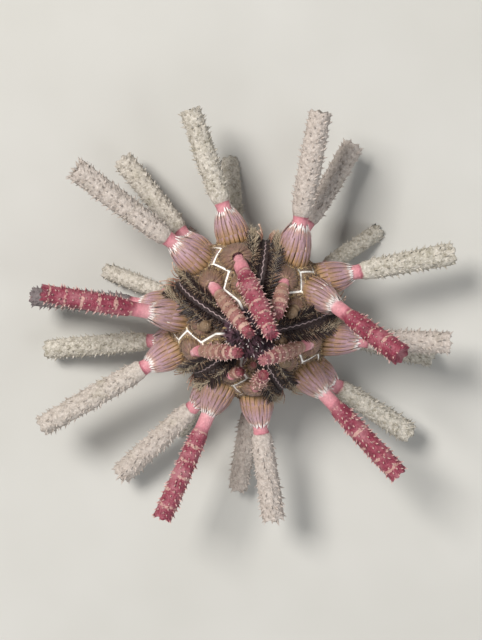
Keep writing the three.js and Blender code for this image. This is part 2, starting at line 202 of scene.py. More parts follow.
# %% [markdown]
# ## The spines' plan
# The same plan as in the solids: each sector has eleven tiers of spines, in two
# columns that take turns. A tier gives the size of its skirt and its spine, and a
# sector gives where its spines point, how long they are and how they look.

# %% The tiers of one sector
# column, colatitude, skirt foot, skirt height, neck radius
TIERS = {
    "bud": (1, 25, 1.5, 1.5, 0.8),
    "knob": (-1, 38, 2.4, 2.8, 1.3),
    "inner": (1, 50, 3.1, 4.4, 1.6),
    "upper": (-1, 64, 3.7, 7.0, 2.0),
    "outer": (1, 80, 3.9, 8.0, 2.05),
    "ambital": (-1, 97, 3.9, 8.0, 2.0),
    "low": (1, 113, 3.7, 7.0, 1.9),
    "prop": (-1, 127, 3.1, 5.5, 1.6),
    "foot": (1, 138, 2.4, 4.5, 1.4),
    "oral": (-1, 146, 1.9, 2.4, 1.1),
    "lip": (1, 152, 1.4, 1.8, 0.8),
}
print("a sector has", len(TIERS), "tiers")

# %% Where the spines of each sector point: heading, lift, length, how fouled
SPINES = [
    {"bud": (223, 70, 2.6, 0), "knob": (225, 60, 4.5, 0), "inner": (256, 50, 14, 0),
     "upper": (-33, 34, 32, 0), "outer": (80, 2, 40, 1), "ambital": (10, -6, 38, 0.75),
     "low": (58, -20, 36, 1), "prop": (28, "floor", 30, 0.9), "foot": (60, "floor", 20, 0.5),
     "oral": (24, -58, 9, 0.1), "lip": (60, -66, 6, 0)},
    {"bud": (295, 70, 2.6, 0), "knob": (300, 60, 5, 0), "inner": (-46, 50, 24, 0),
     "upper": (-61, 56, 34, 0), "outer": (142, 6, 42, 0.95), "ambital": (109, -4, 38, 1),
     "low": (131, -20, 37, 1), "prop": (96, "floor", 30, 0.9), "foot": (134, "floor", 20, 0.5),
     "oral": (96, -58, 9, 0.1), "lip": (132, -66, 6, 0)},
    {"bud": (7, 70, 2.6, 0), "knob": (5, 60, 4.5, 0), "inner": (13, 55, 23, 0),
     "upper": (168, 10, 38, 0), "outer": (211, -5, 45, 0.95), "ambital": (178, -14, 41, 0.6),
     "low": (188, -24, 42, 1), "prop": (165, "floor", 30, 0.9), "foot": (206, "floor", 20, 0.5),
     "oral": (170, -58, 9, 0.1), "lip": (204, -66, 6, 0)},
    {"bud": (79, 70, 2.6, 0), "knob": (30, 55, 6.5, 0), "inner": (72, 66, 18, 0),
     "upper": (246, 6, 40, 0), "outer": (278, -5, 37, 1), "ambital": (226, -16, 42, 1),
     "low": (262, -22, 36, 0.9), "prop": (240, "floor", 30, 0.8), "foot": (276, "floor", 20, 0.5),
     "oral": (242, -58, 9, 0.1), "lip": (276, -66, 6, 0)},
    {"bud": (151, 70, 2.6, 0), "knob": (140, 60, 4.5, 0), "inner": (184, 55, 24, 0),
     "upper": (-47, 6, 39, 0.25), "outer": (-2, -2, 34, 0.9), "ambital": (-36, -16, 38, 0.7),
     "low": (-18, -22, 36, 1), "prop": (-50, "floor", 30, 0.9), "foot": (-14, "floor", 20, 0.5),
     "oral": (-46, -58, 9, 0.1), "lip": (-12, -66, 6, 0)},
]
FLOOR_SINK = 0.7
FLOOR_CLEARANCE = 1.2
DOMED_TIERS = ("bud", "knob", "inner")
DOMED_UPPER = (1, "upper")
print("the longest spine is", max(plan[2] for sector in SPINES for plan in sector.values()), "mm")


# %% Place every spine
def place_spine(k, name):
    """Root, normal and axis of one spine. A prop slopes by the arcsine of its root's
    height over its length, and any other spine keeps its tip clear of the floor."""
    column, colatitude, foot, height, neck = TIERS[name]
    heading, lift, length, foul = SPINES[k][name]
    azimuth = sector_middle(k) + column * COLUMN_OFFSET
    root = on_test(azimuth, colatitude)
    if lift == "floor":
        angle = -math.asin((root[2] + FLOOR_SINK) / length)
    else:
        lowest = (FLOOR_CLEARANCE + 2 * neck - root[2]) / length
        angle = max(lift * DEG, math.asin(max(lowest, -1)))
    flat = math.cos(angle)
    axis = np.array([flat * math.cos(heading * DEG), flat * math.sin(heading * DEG), math.sin(angle)])
    return {
        "name": name, "root": root, "normal": test_normal(azimuth, colatitude), "axis": axis,
        "length": length, "foul": foul, "foot": foot, "height": height, "neck": neck,
        "azimuth": azimuth, "colatitude": colatitude,
        "dome": name in DOMED_TIERS or (k, name) == DOMED_UPPER}


PLAN = [[place_spine(k, name) for name in TIERS] for k in range(5)]
EVERY = [spine for sector in PLAN for spine in sector]
print("the plan has", len(EVERY), "primary spines")

# %% [markdown]
# ## Meshes from arrays
# Every piece is worked out as whole arrays and put into its mesh in one go. A
# grid with its two ends closed makes a skin or a spine. Many small things are one
# small template, repeated at many places and joined into one mesh, which keeps
# thousands of blades and needles in a few objects.


# %% A mesh from points, faces, attributes and a bake map
def make_piece(name, points, faces, attributes, bake_map, material, seam=0.0):
    """Puts arrays into a mesh: points in millimetres, faces of three or four corners.
    Where a face of a tube crosses the seam of the bake map, its low corners move on by seam."""
    mesh = bpy.data.meshes.new(name)
    mesh.vertices.add(len(points))
    mesh.vertices.foreach_set("co", (points * MM).astype(np.float32).ravel())
    sizes = np.concatenate([np.full(len(group), group.shape[1]) for group in faces])
    corners = np.concatenate([group.ravel() for group in faces])
    starts = np.concatenate([[0], np.cumsum(sizes)[:-1]])
    mesh.loops.add(len(corners))
    mesh.loops.foreach_set("vertex_index", corners.astype(np.int32))
    mesh.polygons.add(len(sizes))
    mesh.polygons.foreach_set("loop_start", starts.astype(np.int32))
    mesh.update(calc_edges=True)
    for key, values in attributes.items():
        layer = mesh.attributes.new(key, "FLOAT", "POINT")
        layer.data.foreach_set("value", values.astype(np.float32).ravel())
    spots = [bake_map[group] for group in faces]
    for spot in spots:
        across = spot[..., 0]
        crosses = across.max(1, keepdims=True) - across > seam / 2
        across += np.where(crosses & (seam > 0), seam, 0)
    flat_map = np.concatenate([spot.reshape(-1, 2) for spot in spots])
    layer = mesh.uv_layers.new(name="OFBake")
    layer.uv.foreach_set("vector", flat_map.astype(np.float32).ravel())
    mesh.polygons.foreach_set("use_smooth", np.ones(len(sizes), bool))
    mesh.validate()
    mesh.materials.append(material)
    piece = bpy.data.objects.new(name, mesh)
    bpy.context.scene.collection.objects.link(piece)
    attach(piece, "root")
    print(f"{name}: {int((sizes - 2).sum())} triangles")
    return piece


# %% Faces of a grid that closes on itself round its second side
def tube_faces(rows, sides):
    """Quads between neighbouring rings, and fans from the two end points that
    follow the rings in the list of points."""
    ring = np.arange(sides)
    after = (ring + 1) % sides
    row = np.arange(rows - 1)[:, None] * sides
    quads = np.stack([row + ring, row + after, row + sides + after, row + sides + ring], -1)
    first, last, end = rows * sides, rows * sides + 1, (rows - 1) * sides
    top = np.stack([np.full(sides, first), after, ring], -1)
    bottom = np.stack([np.full(sides, last), end + ring, end + after], -1)
    return quads.reshape(-1, 4), np.concatenate([top, bottom])


print("a tube of 3 rings and 4 sides has", [len(group) for group in tube_faces(3, 4)], "faces")


# %% Many copies of one template
def spread(template, places, right, along, face, widths, lengths, depths, bow):
    """Each template point (x, y, z) goes to place + x width right + y length along
    + (z depth + bow sin(pi y)) face; the result has one row for each copy."""
    x, y, z = template.T
    bend = np.asarray(bow)[..., None] * np.sin(np.clip(y, 0, 1) * math.pi)
    return (places[:, None] + (x * widths[:, None])[..., None] * right[:, None]
            + (y * lengths[:, None])[..., None] * along[:, None]
            + (z * depths[:, None] + bend)[..., None] * face[:, None])


def copies_of(faces, count, points_each):
    """The template's faces repeated with their corners moved on for each copy."""
    steps = (np.arange(count) * points_each)[:, None, None]
    return [(group[None] + steps).reshape(-1, group.shape[1]) for group in faces]


def tapered_template(sides, rows, profile, flat=1.0):
    """Rings along Y from 0 to 1; the profile gives the half width of each ring."""
    y = np.linspace(0, 1, rows)
    turn = turns(sides)
    width = profile(y)[:, None]
    ring = np.stack([width * np.cos(turn), y[:, None] + 0 * turn, -width * flat * np.sin(turn)], -1)
    ends = np.array([[0, -0.02, 0], [0, 1.015, 0]])
    return np.concatenate([ring.reshape(-1, 3), ends]), tube_faces(rows, sides)


# %% What each copy carries: its place on the bake map, and marks for its finish
BLADE_PATCH = 0.010
NEEDLE_PATCH = 0.004
SECTOR_SPAN = 80.0


def patch_map(template, azimuth, colatitude, middle, size, span=SECTOR_SPAN):
    """A small patch for each copy, at its root's place on the unwrapped test."""
    across = ((azimuth - middle + 180) % 360 - 180) / span + 0.5
    wide = template[:, 0] / (np.abs(template[:, 0]).max() + 1e-9)
    u = across[:, None] + wide * size / 2
    v = colatitude[:, None] / 180 + (template[:, 1] - 0.5) * size
    return np.stack([u, v], -1).reshape(-1, 2)


def copy_marks(template, count, draw, **more):
    """How far along and how near the edge each point lies, and a draw for each copy."""
    y = np.clip(template[:, 1], 0, 1)
    edge = np.abs(template[:, 0]) / np.abs(template[:, 0]).max()
    marks = {"along": np.tile(y, count), "edge": np.tile(edge, count)}
    marks["pick"] = np.repeat(draw.uniform(0, 1, count), len(template))
    for key, values in more.items():
        marks[key] = np.repeat(values, len(template))
    return marks


print("a blade takes", BLADE_PATCH, "of its sector's map and a needle", NEEDLE_PATCH)


# %% Soft steps, humps and lumps
def smooth(low, high, value):
    """An S-shaped step from 0 at low to 1 at high."""
    share = np.clip((value - low) / (high - low), 0, 1)
    return share * share * (3 - 2 * share)


def hump(value, centre, width):
    """A soft hump: e to minus the square of the distance from its centre in widths."""
    return np.exp(-((value - centre) / width) ** 2)


def lumps(points, scale, seed):
    """Soft noise: a sum of sines in many directions, a formula of the place alone."""
    draw = np.random.default_rng(seed)
    ways = draw.normal(size=(14, 3))
    ways *= (draw.uniform(0.6, 1.7, 14) / np.linalg.norm(ways, axis=1))[:, None]
    phase = draw.uniform(0, 2 * math.pi, 14)
    return np.sin(points @ ways.T * (2 * math.pi / scale) + phase).mean(-1) * 2.4


print("halfway up a soft step stands", smooth(0, 1, 0.5))

# %% [markdown]
# ## Materials
# Colour comes from what each mesh carries as attributes, such as how far along a
# spine a point lies or how near a suture is, mixed with noise on Object
# coordinates. A finish starts with one colour and lays others over it, each by
# its own share, as a painter glazes a cast. A small class of helpers keeps each
# layer to a line.


# %% Node helpers
class Paint:
    """A material with one Principled shader, a running colour, and helpers that add nodes."""

    def __init__(self, name, roughness, specular=0.4, sheen=0.0):
        """A new material with an even roughness, specular level and sheen."""
        self.material = bpy.data.materials.new(name)
        self.material.use_nodes = True
        self.nodes = self.material.node_tree.nodes
        self.links = self.material.node_tree.links
        self.shader = self.nodes["Principled BSDF"]
        self.shader.inputs["Roughness"].default_value = roughness
        self.shader.inputs["Specular IOR Level"].default_value = specular
        self.shader.inputs["Sheen Weight"].default_value = sheen
        self.place = self.nodes.new("ShaderNodeTexCoord").outputs["Object"]
        self.colour = None

    def attribute(self, name):
        """A value that the mesh carries."""
        node = self.nodes.new("ShaderNodeAttribute")
        node.attribute_name = name
        return node.outputs["Fac"]

    def noise(self, scale_mm, detail=3.0, roughness=0.55):
        """Noise whose largest lumps are about scale_mm across."""
        node = self.nodes.new("ShaderNodeTexNoise")
        node.inputs["Scale"].default_value = 1 / (scale_mm * MM)
        node.inputs["Detail"].default_value = detail
        node.inputs["Roughness"].default_value = roughness
        self.links.new(self.place, node.inputs["Vector"])
        return node.outputs["Fac"]

    def cells(self, scale_mm):
        """Distance to the nearest of many scattered points, about scale_mm apart."""
        node = self.nodes.new("ShaderNodeTexVoronoi")
        node.inputs["Scale"].default_value = 1 / (scale_mm * MM)
        self.links.new(self.place, node.inputs["Vector"])
        return node.outputs["Distance"]

    def fill(self, sockets, values):
        """Links each socket to a value of another node, or sets it to a plain value."""
        for socket, value in zip(sockets, values):
            if isinstance(value, (tuple, float, int)):
                socket.default_value = value
            else:
                self.links.new(value, socket)

    def maths(self, kind, a, b):
        """One step of arithmetic on two values."""
        node = self.nodes.new("ShaderNodeMath")
        node.operation = kind
        self.fill(node.inputs, (a, b))
        return node.outputs["Value"]

    def plus(self, a, b):
        """The sum of two values."""
        return self.maths("ADD", a, b)

    def times(self, a, b):
        """The product of two values."""
        return self.maths("MULTIPLY", a, b)

    def ramp(self, value, *stops):
        """A colour ramp: stops are (position, colour or grey)."""
        node = self.nodes.new("ShaderNodeValToRGB")
        elements = node.color_ramp.elements
        while len(elements) < len(stops):
            elements.new(0.5)
        for element, (position, colour) in zip(elements, stops):
            element.position = position
            element.color = (colour,) * 3 + (1,) if isinstance(colour, float) else colour
        self.links.new(value, node.inputs["Fac"])
        return node.outputs["Color"]

    def step(self, value, low, high, start=0.0, end=1.0):
        """A grey that goes from start to end while the value goes from low to high."""
        return self.ramp(value, (low, start), (high, end))

    def mix(self, share, a, b, blend="MIX"):
        """Colour a where the share is 0 and colour b where it is 1."""
        node = self.nodes.new("ShaderNodeMix")
        node.data_type = "RGBA"
        node.blend_type = blend
        self.fill((node.inputs[0], node.inputs[6], node.inputs[7]), (share, a, b))
        return node.outputs[2]

    def cover(self, share, colour):
        """Lays a colour over the running one, by a share of 0 to 1."""
        self.colour = self.mix(share, self.colour, colour)

    def shade(self, value, low, high, start, end):
        """Multiplies the running colour by a grey that follows a value."""
        self.colour = self.mix(1.0, self.colour, self.step(value, low, high, start, end), "MULTIPLY")

    def finish(self, roughness=None, height=None, depth_mm=0.1):
        """Links the running colour, a roughness and a bump of some depth to the shader."""
        self.links.new(self.colour, self.shader.inputs["Base Color"])
        if roughness is not None:
            self.links.new(roughness, self.shader.inputs["Roughness"])
        if height is not None:
            bump = self.nodes.new("ShaderNodeBump")
            bump.inputs["Strength"].default_value = 1.0
            bump.inputs["Distance"].default_value = depth_mm * MM
            self.links.new(height, bump.inputs["Height"])
            self.links.new(bump.outputs["Normal"], self.shader.inputs["Normal"])
        print("finish", self.material.name, "has", len(self.nodes), "nodes")
        return self.material


# %% Colours
def rgb(red, green, blue):
    """A screen colour of 0 to 255 as the linear colour that shaders take."""
    screen = np.array([red, green, blue]) / 255
    linear = np.where(screen <= 0.04045, screen / 12.92, ((screen + 0.055) / 1.055) ** 2.4)
    return (*[float(value) for value in linear], 1.0)


LILAC_WHITE = rgb(234, 218, 218)
COLLAR_PINK = rgb(210, 150, 155)
NECK_PINK = rgb(198, 126, 136)
ROSE = rgb(164, 104, 112)
CRIMSON = rgb(136, 54, 72)
DEEP_CRIMSON = rgb(92, 34, 48)
BAND_CREAM = rgb(208, 176, 160)
SHAFT_TAN = rgb(146, 118, 98)
GRAIN_PINK = rgb(188, 122, 128)
BUD_OLIVE = rgb(126, 104, 82)
THORN_CREAM = rgb(226, 196, 184)
FOUL_GREY = rgb(196, 189, 177)
FOUL_DARK = rgb(146, 139, 124)
FOUL_PALE = rgb(218, 212, 203)
FOUL_ROSY = rgb(188, 172, 168)
FOUL_VIOLET = rgb(92, 80, 88)
FOUL_GREEN = rgb(140, 136, 108)
MAUVE = rgb(151, 127, 126)
TAN = rgb(132, 110, 90)
OLIVE = rgb(100, 82, 68)
DARK_BROWN = rgb(40, 26, 25)
PURPLE_BLACK = rgb(44, 30, 38)
print("crimson is", np.round(CRIMSON, 3), "to a shader")

# %% [markdown]
# ## The primary spines
# A cidaroid spine has a smooth neck, pale at its foot and pink above, and a shaft
# of rose and crimson with rows of fine granules and whorls of cream thorns. Old
# spines have no living skin on the shaft, so a grey crust grows on it. A spine
# could be a lathe's profile, but its granules and lumps also vary round it, so it
# is a grid of rings, and its radius is the shaft's profile plus granule rows plus
# the lumps of the crust.

# %% Sizes of a primary spine
RING_RADIUS = 1.32      # the milled ring at the foot, as a share of the neck
RING_PLACE = 1.1
RING_WIDTH = 0.42
RING_TEETH = 26
FOOT_NARROWING = 0.35
BASE_SINK = 1.2         # how far the closed foot reaches into the test
SKIRT_COVER = 0.9       # the share of the skirt's height that hides the neck
DOME_COVER = 0.5
BARE_NECK = 4.4
CLEAN_NECK_GAIN = 2.5   # how much longer the neck of an unfouled spine is
DOME_NECK = 8.0
USUAL_LENGTH = 34       # a shorter spine has a shorter neck
TIP_TAPER = -0.3
SHORT_TAPER = -0.12
GRANULE_ROWS = 20
GRANULE_STEP = 0.62
GRANULE_HEIGHT = 0.13
SWELL_STEP = 4.6        # millimetres from one swelling, or pale band, to the next
STRIPE_STEP = 3.0
STRIPED_BELOW = 1.7     # spines with a thinner neck than this have close stripes
CROWN_LOBES = 7
CRUST_DEPTH = 0.36
shaft_start = TIERS["outer"][3] * SKIRT_COVER + BARE_NECK
print("a long fouled spine's shaft starts", round(shaft_start, 1), "mm from the test")


# %% Profile of a spine
def shaft_radius(spine, along, flare):
    """Radius along a spine: the neck, a slightly thicker shaft and a crown that flares."""
    length, neck, collar = spine["length"], spine["neck"], spine["collar"]
    shaft = smooth(collar - 0.5, collar + 1.2, along)
    share = np.clip((along - collar) / (length - collar), 0, 1)
    thick = 0.14 + 0.14 * np.sin(share * math.pi)
    crown = smooth(length * 0.62, length - 0.4, along) * flare
    swell = 0.018 * np.cos((along - collar) * 2 * math.pi / SWELL_STEP)
    return neck * (1 + shaft * (thick + swell) + crown)


def bare_share(spine, along):
    """0 where the neck leaves its skirt and 1 where the shaft begins."""
    least = 0.3 if spine["dome"] else -1.0
    return np.maximum((along - spine["cover"]) / (spine["collar"] - spine["cover"]), least)


def add_ends(grid, start, end):
    """A grid's values in one row, and then the values of its two end points."""
    return np.concatenate([grid.ravel(), [start, end]])


# %% One spine as a grid
def primary_spine(spine, seed, sides, rows):
    """Each ring stands square to the axis. Its radius is the profile, the milled ring
    and the granules, then lobes at the crown, and crust pushes the points out further."""
    length, neck, foul, collar = spine["length"], spine["neck"], spine["foul"], spine["collar"]
    share = np.linspace(0, 1, rows)[:, None] + np.zeros((1, sides))
    turn = turns(sides)[None] + np.zeros((rows, 1))
    along = share * length
    radius = shaft_radius(spine, along, spine["flare"])
    ring = hump(along, RING_PLACE, RING_WIDTH) * (RING_RADIUS - 1)
    radius += neck * ring * (1 + 0.05 * np.sin(turn * RING_TEETH))
    radius *= 1 - FOOT_NARROWING * (1 - smooth(0, 0.9, along))
    on_shaft = smooth(collar + 0.2, collar + 1.4, along)
    grains = (0.5 + 0.5 * np.cos(turn * GRANULE_ROWS)) * (
        0.5 + 0.5 * np.cos(along * 2 * math.pi / GRANULE_STEP + 3 * np.sin(turn * 5)))
    radius += on_shaft * grains * GRANULE_HEIGHT * (neck / 2.0)
    lobes = np.cos(turn * CROWN_LOBES + seed)
    lobe_height = 0.03 if spine["dome"] else 0.09
    radius += smooth(length - 1.6, length, along) * lobe_height * neck * lobes
    ray = ray_at(turn, spine["axis"])
    points = spine["root"] + along[..., None] * spine["axis"] + radius[..., None] * ray
    crust = foul * smooth(collar - 1.6, collar + 0.9, along)
    rough = lumps(points, 2.4, seed) * 0.5 + lumps(points, 1.0, seed + 9) * 0.35
    points += np.maximum(crust * (CRUST_DEPTH + CRUST_DEPTH * rough), -0.1)[..., None] * ray
    points += (smooth(length - 0.3, length, along) * 0.25 * lobes)[..., None] * spine["axis"]
    first = spine["root"] - spine["normal"] * BASE_SINK
    crown = length - 0.5 * neck if length > 7 else length + 0.3
    flat = np.concatenate([points.reshape(-1, 3), [first, spine["root"] + spine["axis"] * crown]])
    striped = neck < STRIPED_BELOW
    step = STRIPE_STEP if striped else SWELL_STEP
    banding = 0.5 + 0.5 * np.cos((along - collar) * 2 * math.pi / step)
    marks = {
        "collar": add_ends(bare_share(spine, along), 0, 3), "thorn": add_ends(0 * along, 0, 0),
        "grain": add_ends(grains * on_shaft, 0, 0), "crust": add_ends(crust, 0, foul),
        "band": add_ends(banding * (1 - smooth(length - 1.6, length - 0.9, along)), 0, 0),
        "hue": np.full(len(flat), spine["hue"]), "olive": np.full(len(flat), spine["olive"]),
        "stripe": np.full(len(flat), 1.0 if striped else 0.0)}
    cell = np.stack([add_ends(turn / (2 * math.pi), 0, 0), add_ends(share, 0, 1)], -1)
    return flat, marks, cell


# %% [markdown]
# ## Thorns
# The shaft is set with whorls of thorns that lean forward. A thorn is a small
# bent cone with its root in the shaft. Under the crust the thorns are thicker and
# grey, and on a clean spine they are small and cream at the tip.

# %% Sizes and outline of a thorn
WHORL_STEP = 1.7
THORN_LENGTH = 1.0
THORN_WIDTH = 0.62
THORNS_PER_NECK = 5.0
THORN_SINK = 0.3
THORN_BOW = 0.08
THORN_PATCH = 0.025


def thorn_profile(y):
    """Half width of a cone whose sides curve in a little."""
    return 0.5 * np.clip(1 - y, 0, 1) ** 0.8 + 0.015


THORN, THORN_FACES = tapered_template(5, 3, thorn_profile)
print("a thorn has", len(THORN), "points")


# %% The thorns of one spine
def spine_thorns(spine, draw):
    """Thorns stand at even turns in whorls at even steps, each moved a little. A thorn
    points out along the ray plus a share of the axis, and grows from the collar on."""
    length, neck, foul, collar = spine["length"], spine["neck"], spine["foul"], spine["collar"]
    size = neck / 2.0
    whorls = np.arange(collar + 1.0, length - 0.2, WHORL_STEP * (0.7 + 0.3 * size))
    each = max(5, int(round(neck * THORNS_PER_NECK)))
    at = np.repeat(whorls, each) + draw.uniform(-0.5, 0.5, len(whorls) * each)
    at = np.minimum(at, length - 0.15)
    turn = (np.tile(np.arange(each), len(whorls)) + np.repeat(draw.uniform(0, 1, len(whorls)), each)
            + draw.uniform(-0.22, 0.22, len(at))) / each * 2 * math.pi
    ray = ray_at(turn, spine["axis"])
    lean_on = draw.uniform(0.35, 0.85, len(at)) + 0.6 * smooth(length - 2.0, length, at)
    along = unit(ray + lean_on[:, None] * spine["axis"])
    sunk = shaft_radius(spine, at, spine["flare"]) - THORN_SINK
    places = spine["root"] + at[:, None] * spine["axis"] + ray * sunk[:, None]
    side = unit(np.cross(along, spine["axis"]))
    face = np.cross(side, along)
    grown = draw.uniform(0.65, 1.25, len(at)) * smooth(-0.2, 3.0, at - collar)
    lengths = 0.35 + THORN_LENGTH * (0.9 * size - 0.05) * (1.3 + 0.55 * foul) * grown
    widths = THORN_WIDTH * (0.35 + 0.65 * size) * (1.2 + 0.5 * foul) * draw.uniform(0.85, 1.15, len(at))
    bow = np.full(len(at), THORN_BOW)
    points = spread(THORN, places, side, along, face, widths, lengths, widths, bow)
    whole, count = len(at) * len(THORN), len(at)
    marks = {
        "collar": np.repeat(bare_share(spine, at), len(THORN)),
        "thorn": np.tile(np.clip(THORN[:, 1], 0, 1), count), "grain": np.zeros(whole),
        "crust": np.full(whole, foul * 0.9), "band": np.zeros(whole),
        "hue": np.full(whole, spine["hue"]), "olive": np.full(whole, spine["olive"]),
        "stripe": np.zeros(whole)}
    root = np.stack([turn / (2 * math.pi) % 1, at / length], -1)
    cell = root[:, None] + (THORN[:, [0, 1]] - [0, 0.5]) * THORN_PATCH
    return points.reshape(-1, 3), marks, cell.reshape(-1, 2)


# %% [markdown]
# ## The finish of the primary spines
# The colour follows how much of the neck is bare: lilac white, pink, rose and
# then crimson patches. Pale bands, tan on the slim inner shafts, pink granules
# and cream thorns go over it. The crust covers all of that on old shafts, and is
# two sizes of grey patches with faint rosy, violet and green tints.


# %% Crust, and the whole finish
def crust_colour(paint, hue):
    """Dark and light patches of two sizes, tinted by the spine's hue and by place."""
    growth = paint.mix(paint.step(paint.noise(1.4, 6.0, 0.65), 0.36, 0.6), FOUL_DARK, FOUL_GREY)
    growth = paint.mix(paint.step(paint.noise(0.5), 0.5, 0.72, 0.0, 0.8), growth, FOUL_PALE)
    growth = paint.mix(paint.step(hue, 0.35, 0.7, 0.0, 0.45), growth, FOUL_ROSY)
    growth = paint.mix(paint.step(hue, 0.0, 0.02, 0.8, 0.0), growth, FOUL_VIOLET)
    return paint.mix(paint.step(paint.noise(9.0), 0.55, 0.75, 0.0, 0.3), growth, FOUL_GREEN)


def spine_finish():
    """Edge is the bare share plus noise, so that every border on the spine wanders."""
    paint = Paint("spine_calcite", 0.5, 0.35)
    hue, stripe = paint.attribute("hue"), paint.attribute("stripe")
    wander = paint.maths("SUBTRACT", paint.times(paint.noise(3.0, 4.0), 0.5), 0.25)
    edge = paint.plus(paint.attribute("collar"), wander)
    on_shaft = paint.step(edge, 0.8, 1.0)
    patches = paint.plus(paint.noise(4.0, 5.0), paint.times(hue, 0.14))
    paint.colour = paint.ramp(edge, (0.0, LILAC_WHITE), (0.12, LILAC_WHITE), (0.34, COLLAR_PINK),
                              (0.8, NECK_PINK), (1.0, ROSE))
    paint.cover(on_shaft, paint.ramp(patches, (0.4, ROSE), (0.6, CRIMSON), (0.84, DEEP_CRIMSON)))
    band = paint.plus(paint.attribute("band"), paint.maths("SUBTRACT", paint.noise(1.8), 0.5))
    thin, wide = paint.step(band, 0.93, 1.02, 0.0, 0.6), paint.step(band, 0.5, 0.72, 0.0, 0.85)
    banded = paint.mix(stripe, thin, wide)
    paint.cover(paint.times(banded, on_shaft), BAND_CREAM)
    tanned = paint.ramp(paint.times(edge, 0.25), (0.2, 0.0), (0.26, 0.8), (0.6, 0.65), (0.95, 0.1))
    paint.cover(paint.times(tanned, stripe), SHAFT_TAN)
    paint.cover(paint.step(paint.attribute("grain"), 0.45, 0.95, 0.0, 0.6), GRAIN_PINK)
    paint.cover(paint.attribute("olive"), BUD_OLIVE)
    paint.cover(paint.step(paint.attribute("thorn"), 0.3, 0.85, 0.0, 0.95), THORN_CREAM)
    growth = paint.plus(paint.attribute("crust"), paint.times(paint.noise(3.2, 4.0), 0.5))
    crusted = paint.step(growth, 0.6, 0.8)
    paint.cover(crusted, crust_colour(paint, hue))
    paint.shade(paint.noise(0.8, 4.0), 0.3, 0.7, 0.8, 1.08)
    height = paint.plus(paint.noise(0.35, 4.0), paint.cells(0.5))
    return paint.finish(paint.step(crusted, 0.0, 1.0, 0.42, 0.9), height, 0.12)


SPINE_FINISH = spine_finish()

# %% Five pieces of eleven spines
# sides and rows of a spine's grid, and its cell of the bake map: left, width, bottom, height
GRIDS = {
    "inner": (56, 90, 0.80, 0.19, 0.0, 0.50), "upper": (60, 130, 0.0, 0.16, 0.0, 0.78),
    "outer": (60, 130, 0.16, 0.16, 0.0, 0.78), "ambital": (52, 120, 0.32, 0.16, 0.0, 0.78),
    "low": (44, 100, 0.48, 0.16, 0.0, 0.78), "prop": (36, 80, 0.64, 0.16, 0.0, 0.78),
    "foot": (32, 60, 0.80, 0.19, 0.5, 0.28), "oral": (28, 40, 0.0, 0.2, 0.78, 0.22),
    "lip": (24, 32, 0.2, 0.2, 0.78, 0.22), "knob": (32, 40, 0.4, 0.2, 0.78, 0.22),
    "bud": (24, 28, 0.6, 0.2, 0.78, 0.22),
}
CELL_MARGIN = 0.03
CELL_FILLED = 0.94
CELL_SEAM = 0.15        # about one turn of a long spine's cell, in map units
DARK_SPINES = {(2, "ambital")}
OLIVE_SECTORS = (0, 2, 4)


def grow_spine(k, spine, draw):
    """Adds what differs from spine to spine: the neck's two ends, the hue and the flare."""
    length = spine["length"]
    cover = DOME_COVER if spine["dome"] else spine["height"] * SKIRT_COVER
    neck = DOME_NECK if spine["dome"] else BARE_NECK + CLEAN_NECK_GAIN * (spine["foul"] < 0.3)
    spine["cover"] = min(cover, length * 0.3)
    spine["collar"] = spine["cover"] + neck * min(length / USUAL_LENGTH, 1)
    spine["hue"] = 0.0 if (k, spine["name"]) in DARK_SPINES else draw.uniform(0.05, 1)
    spine["olive"] = 1.0 if spine["name"] in ("knob", "bud") and k in OLIVE_SECTORS else 0.0
    flare = draw.uniform(-0.05, 0.28) if length > 20 else SHORT_TAPER
    spine["flare"] = TIP_TAPER if spine["dome"] else flare


def spine_piece(k):
    """The spines of one sector in one mesh, each with its own cell of the bake map."""
    draw = np.random.default_rng(60 + k)
    points, marks, maps, quads, triangles = [], [], [], [], []
    start = 0
    for j, spine in enumerate(PLAN[k]):
        sides, rows, left, wide, low, tall = GRIDS[spine["name"]]
        grow_spine(k, spine, draw)
        parts = [(*primary_spine(spine, 100 * k + j, sides, rows), *tube_faces(rows, sides))]
        if spine["length"] > 5:
            thorns = spine_thorns(spine, draw)
            parts.append((*thorns, *copies_of(THORN_FACES, len(thorns[0]) // len(THORN), len(THORN))))
        for flat, mark, cell, four, three in parts:
            flat[:, 2] = np.maximum(flat[:, 2], LOWEST)
            points.append(flat)
            marks.append(mark)
            corner = [left + wide * CELL_MARGIN, low + tall * CELL_MARGIN]
            maps.append(cell * [wide * CELL_FILLED, tall * CELL_FILLED] + corner)
            quads.append(four + start)
            triangles.append(three + start)
            start += len(flat)
    joined_marks = {key: np.concatenate([mark[key] for mark in marks]) for key in marks[0]}
    return make_piece(f"primary_spines_{k + 1}", np.concatenate(points),
                      [np.concatenate(quads), np.concatenate(triangles)], joined_marks,
                      np.concatenate(maps), SPINE_FINISH, CELL_SEAM)


for k in range(5):
    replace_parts(spine_piece(k), f"interambulacrum_{k + 1}")

# %% [markdown]
# ## The skin of the test
# One skin covers the whole test, so that no seam shows between the solids. Its
# height and its colours come from distances: to the nearest spine's knob, to the
# zigzag suture in the middle of a sector, to the sutures between plates, and to
# the wavy middle line of a band. The distances are kept as attributes, and the
# finish turns them into crisp lines.

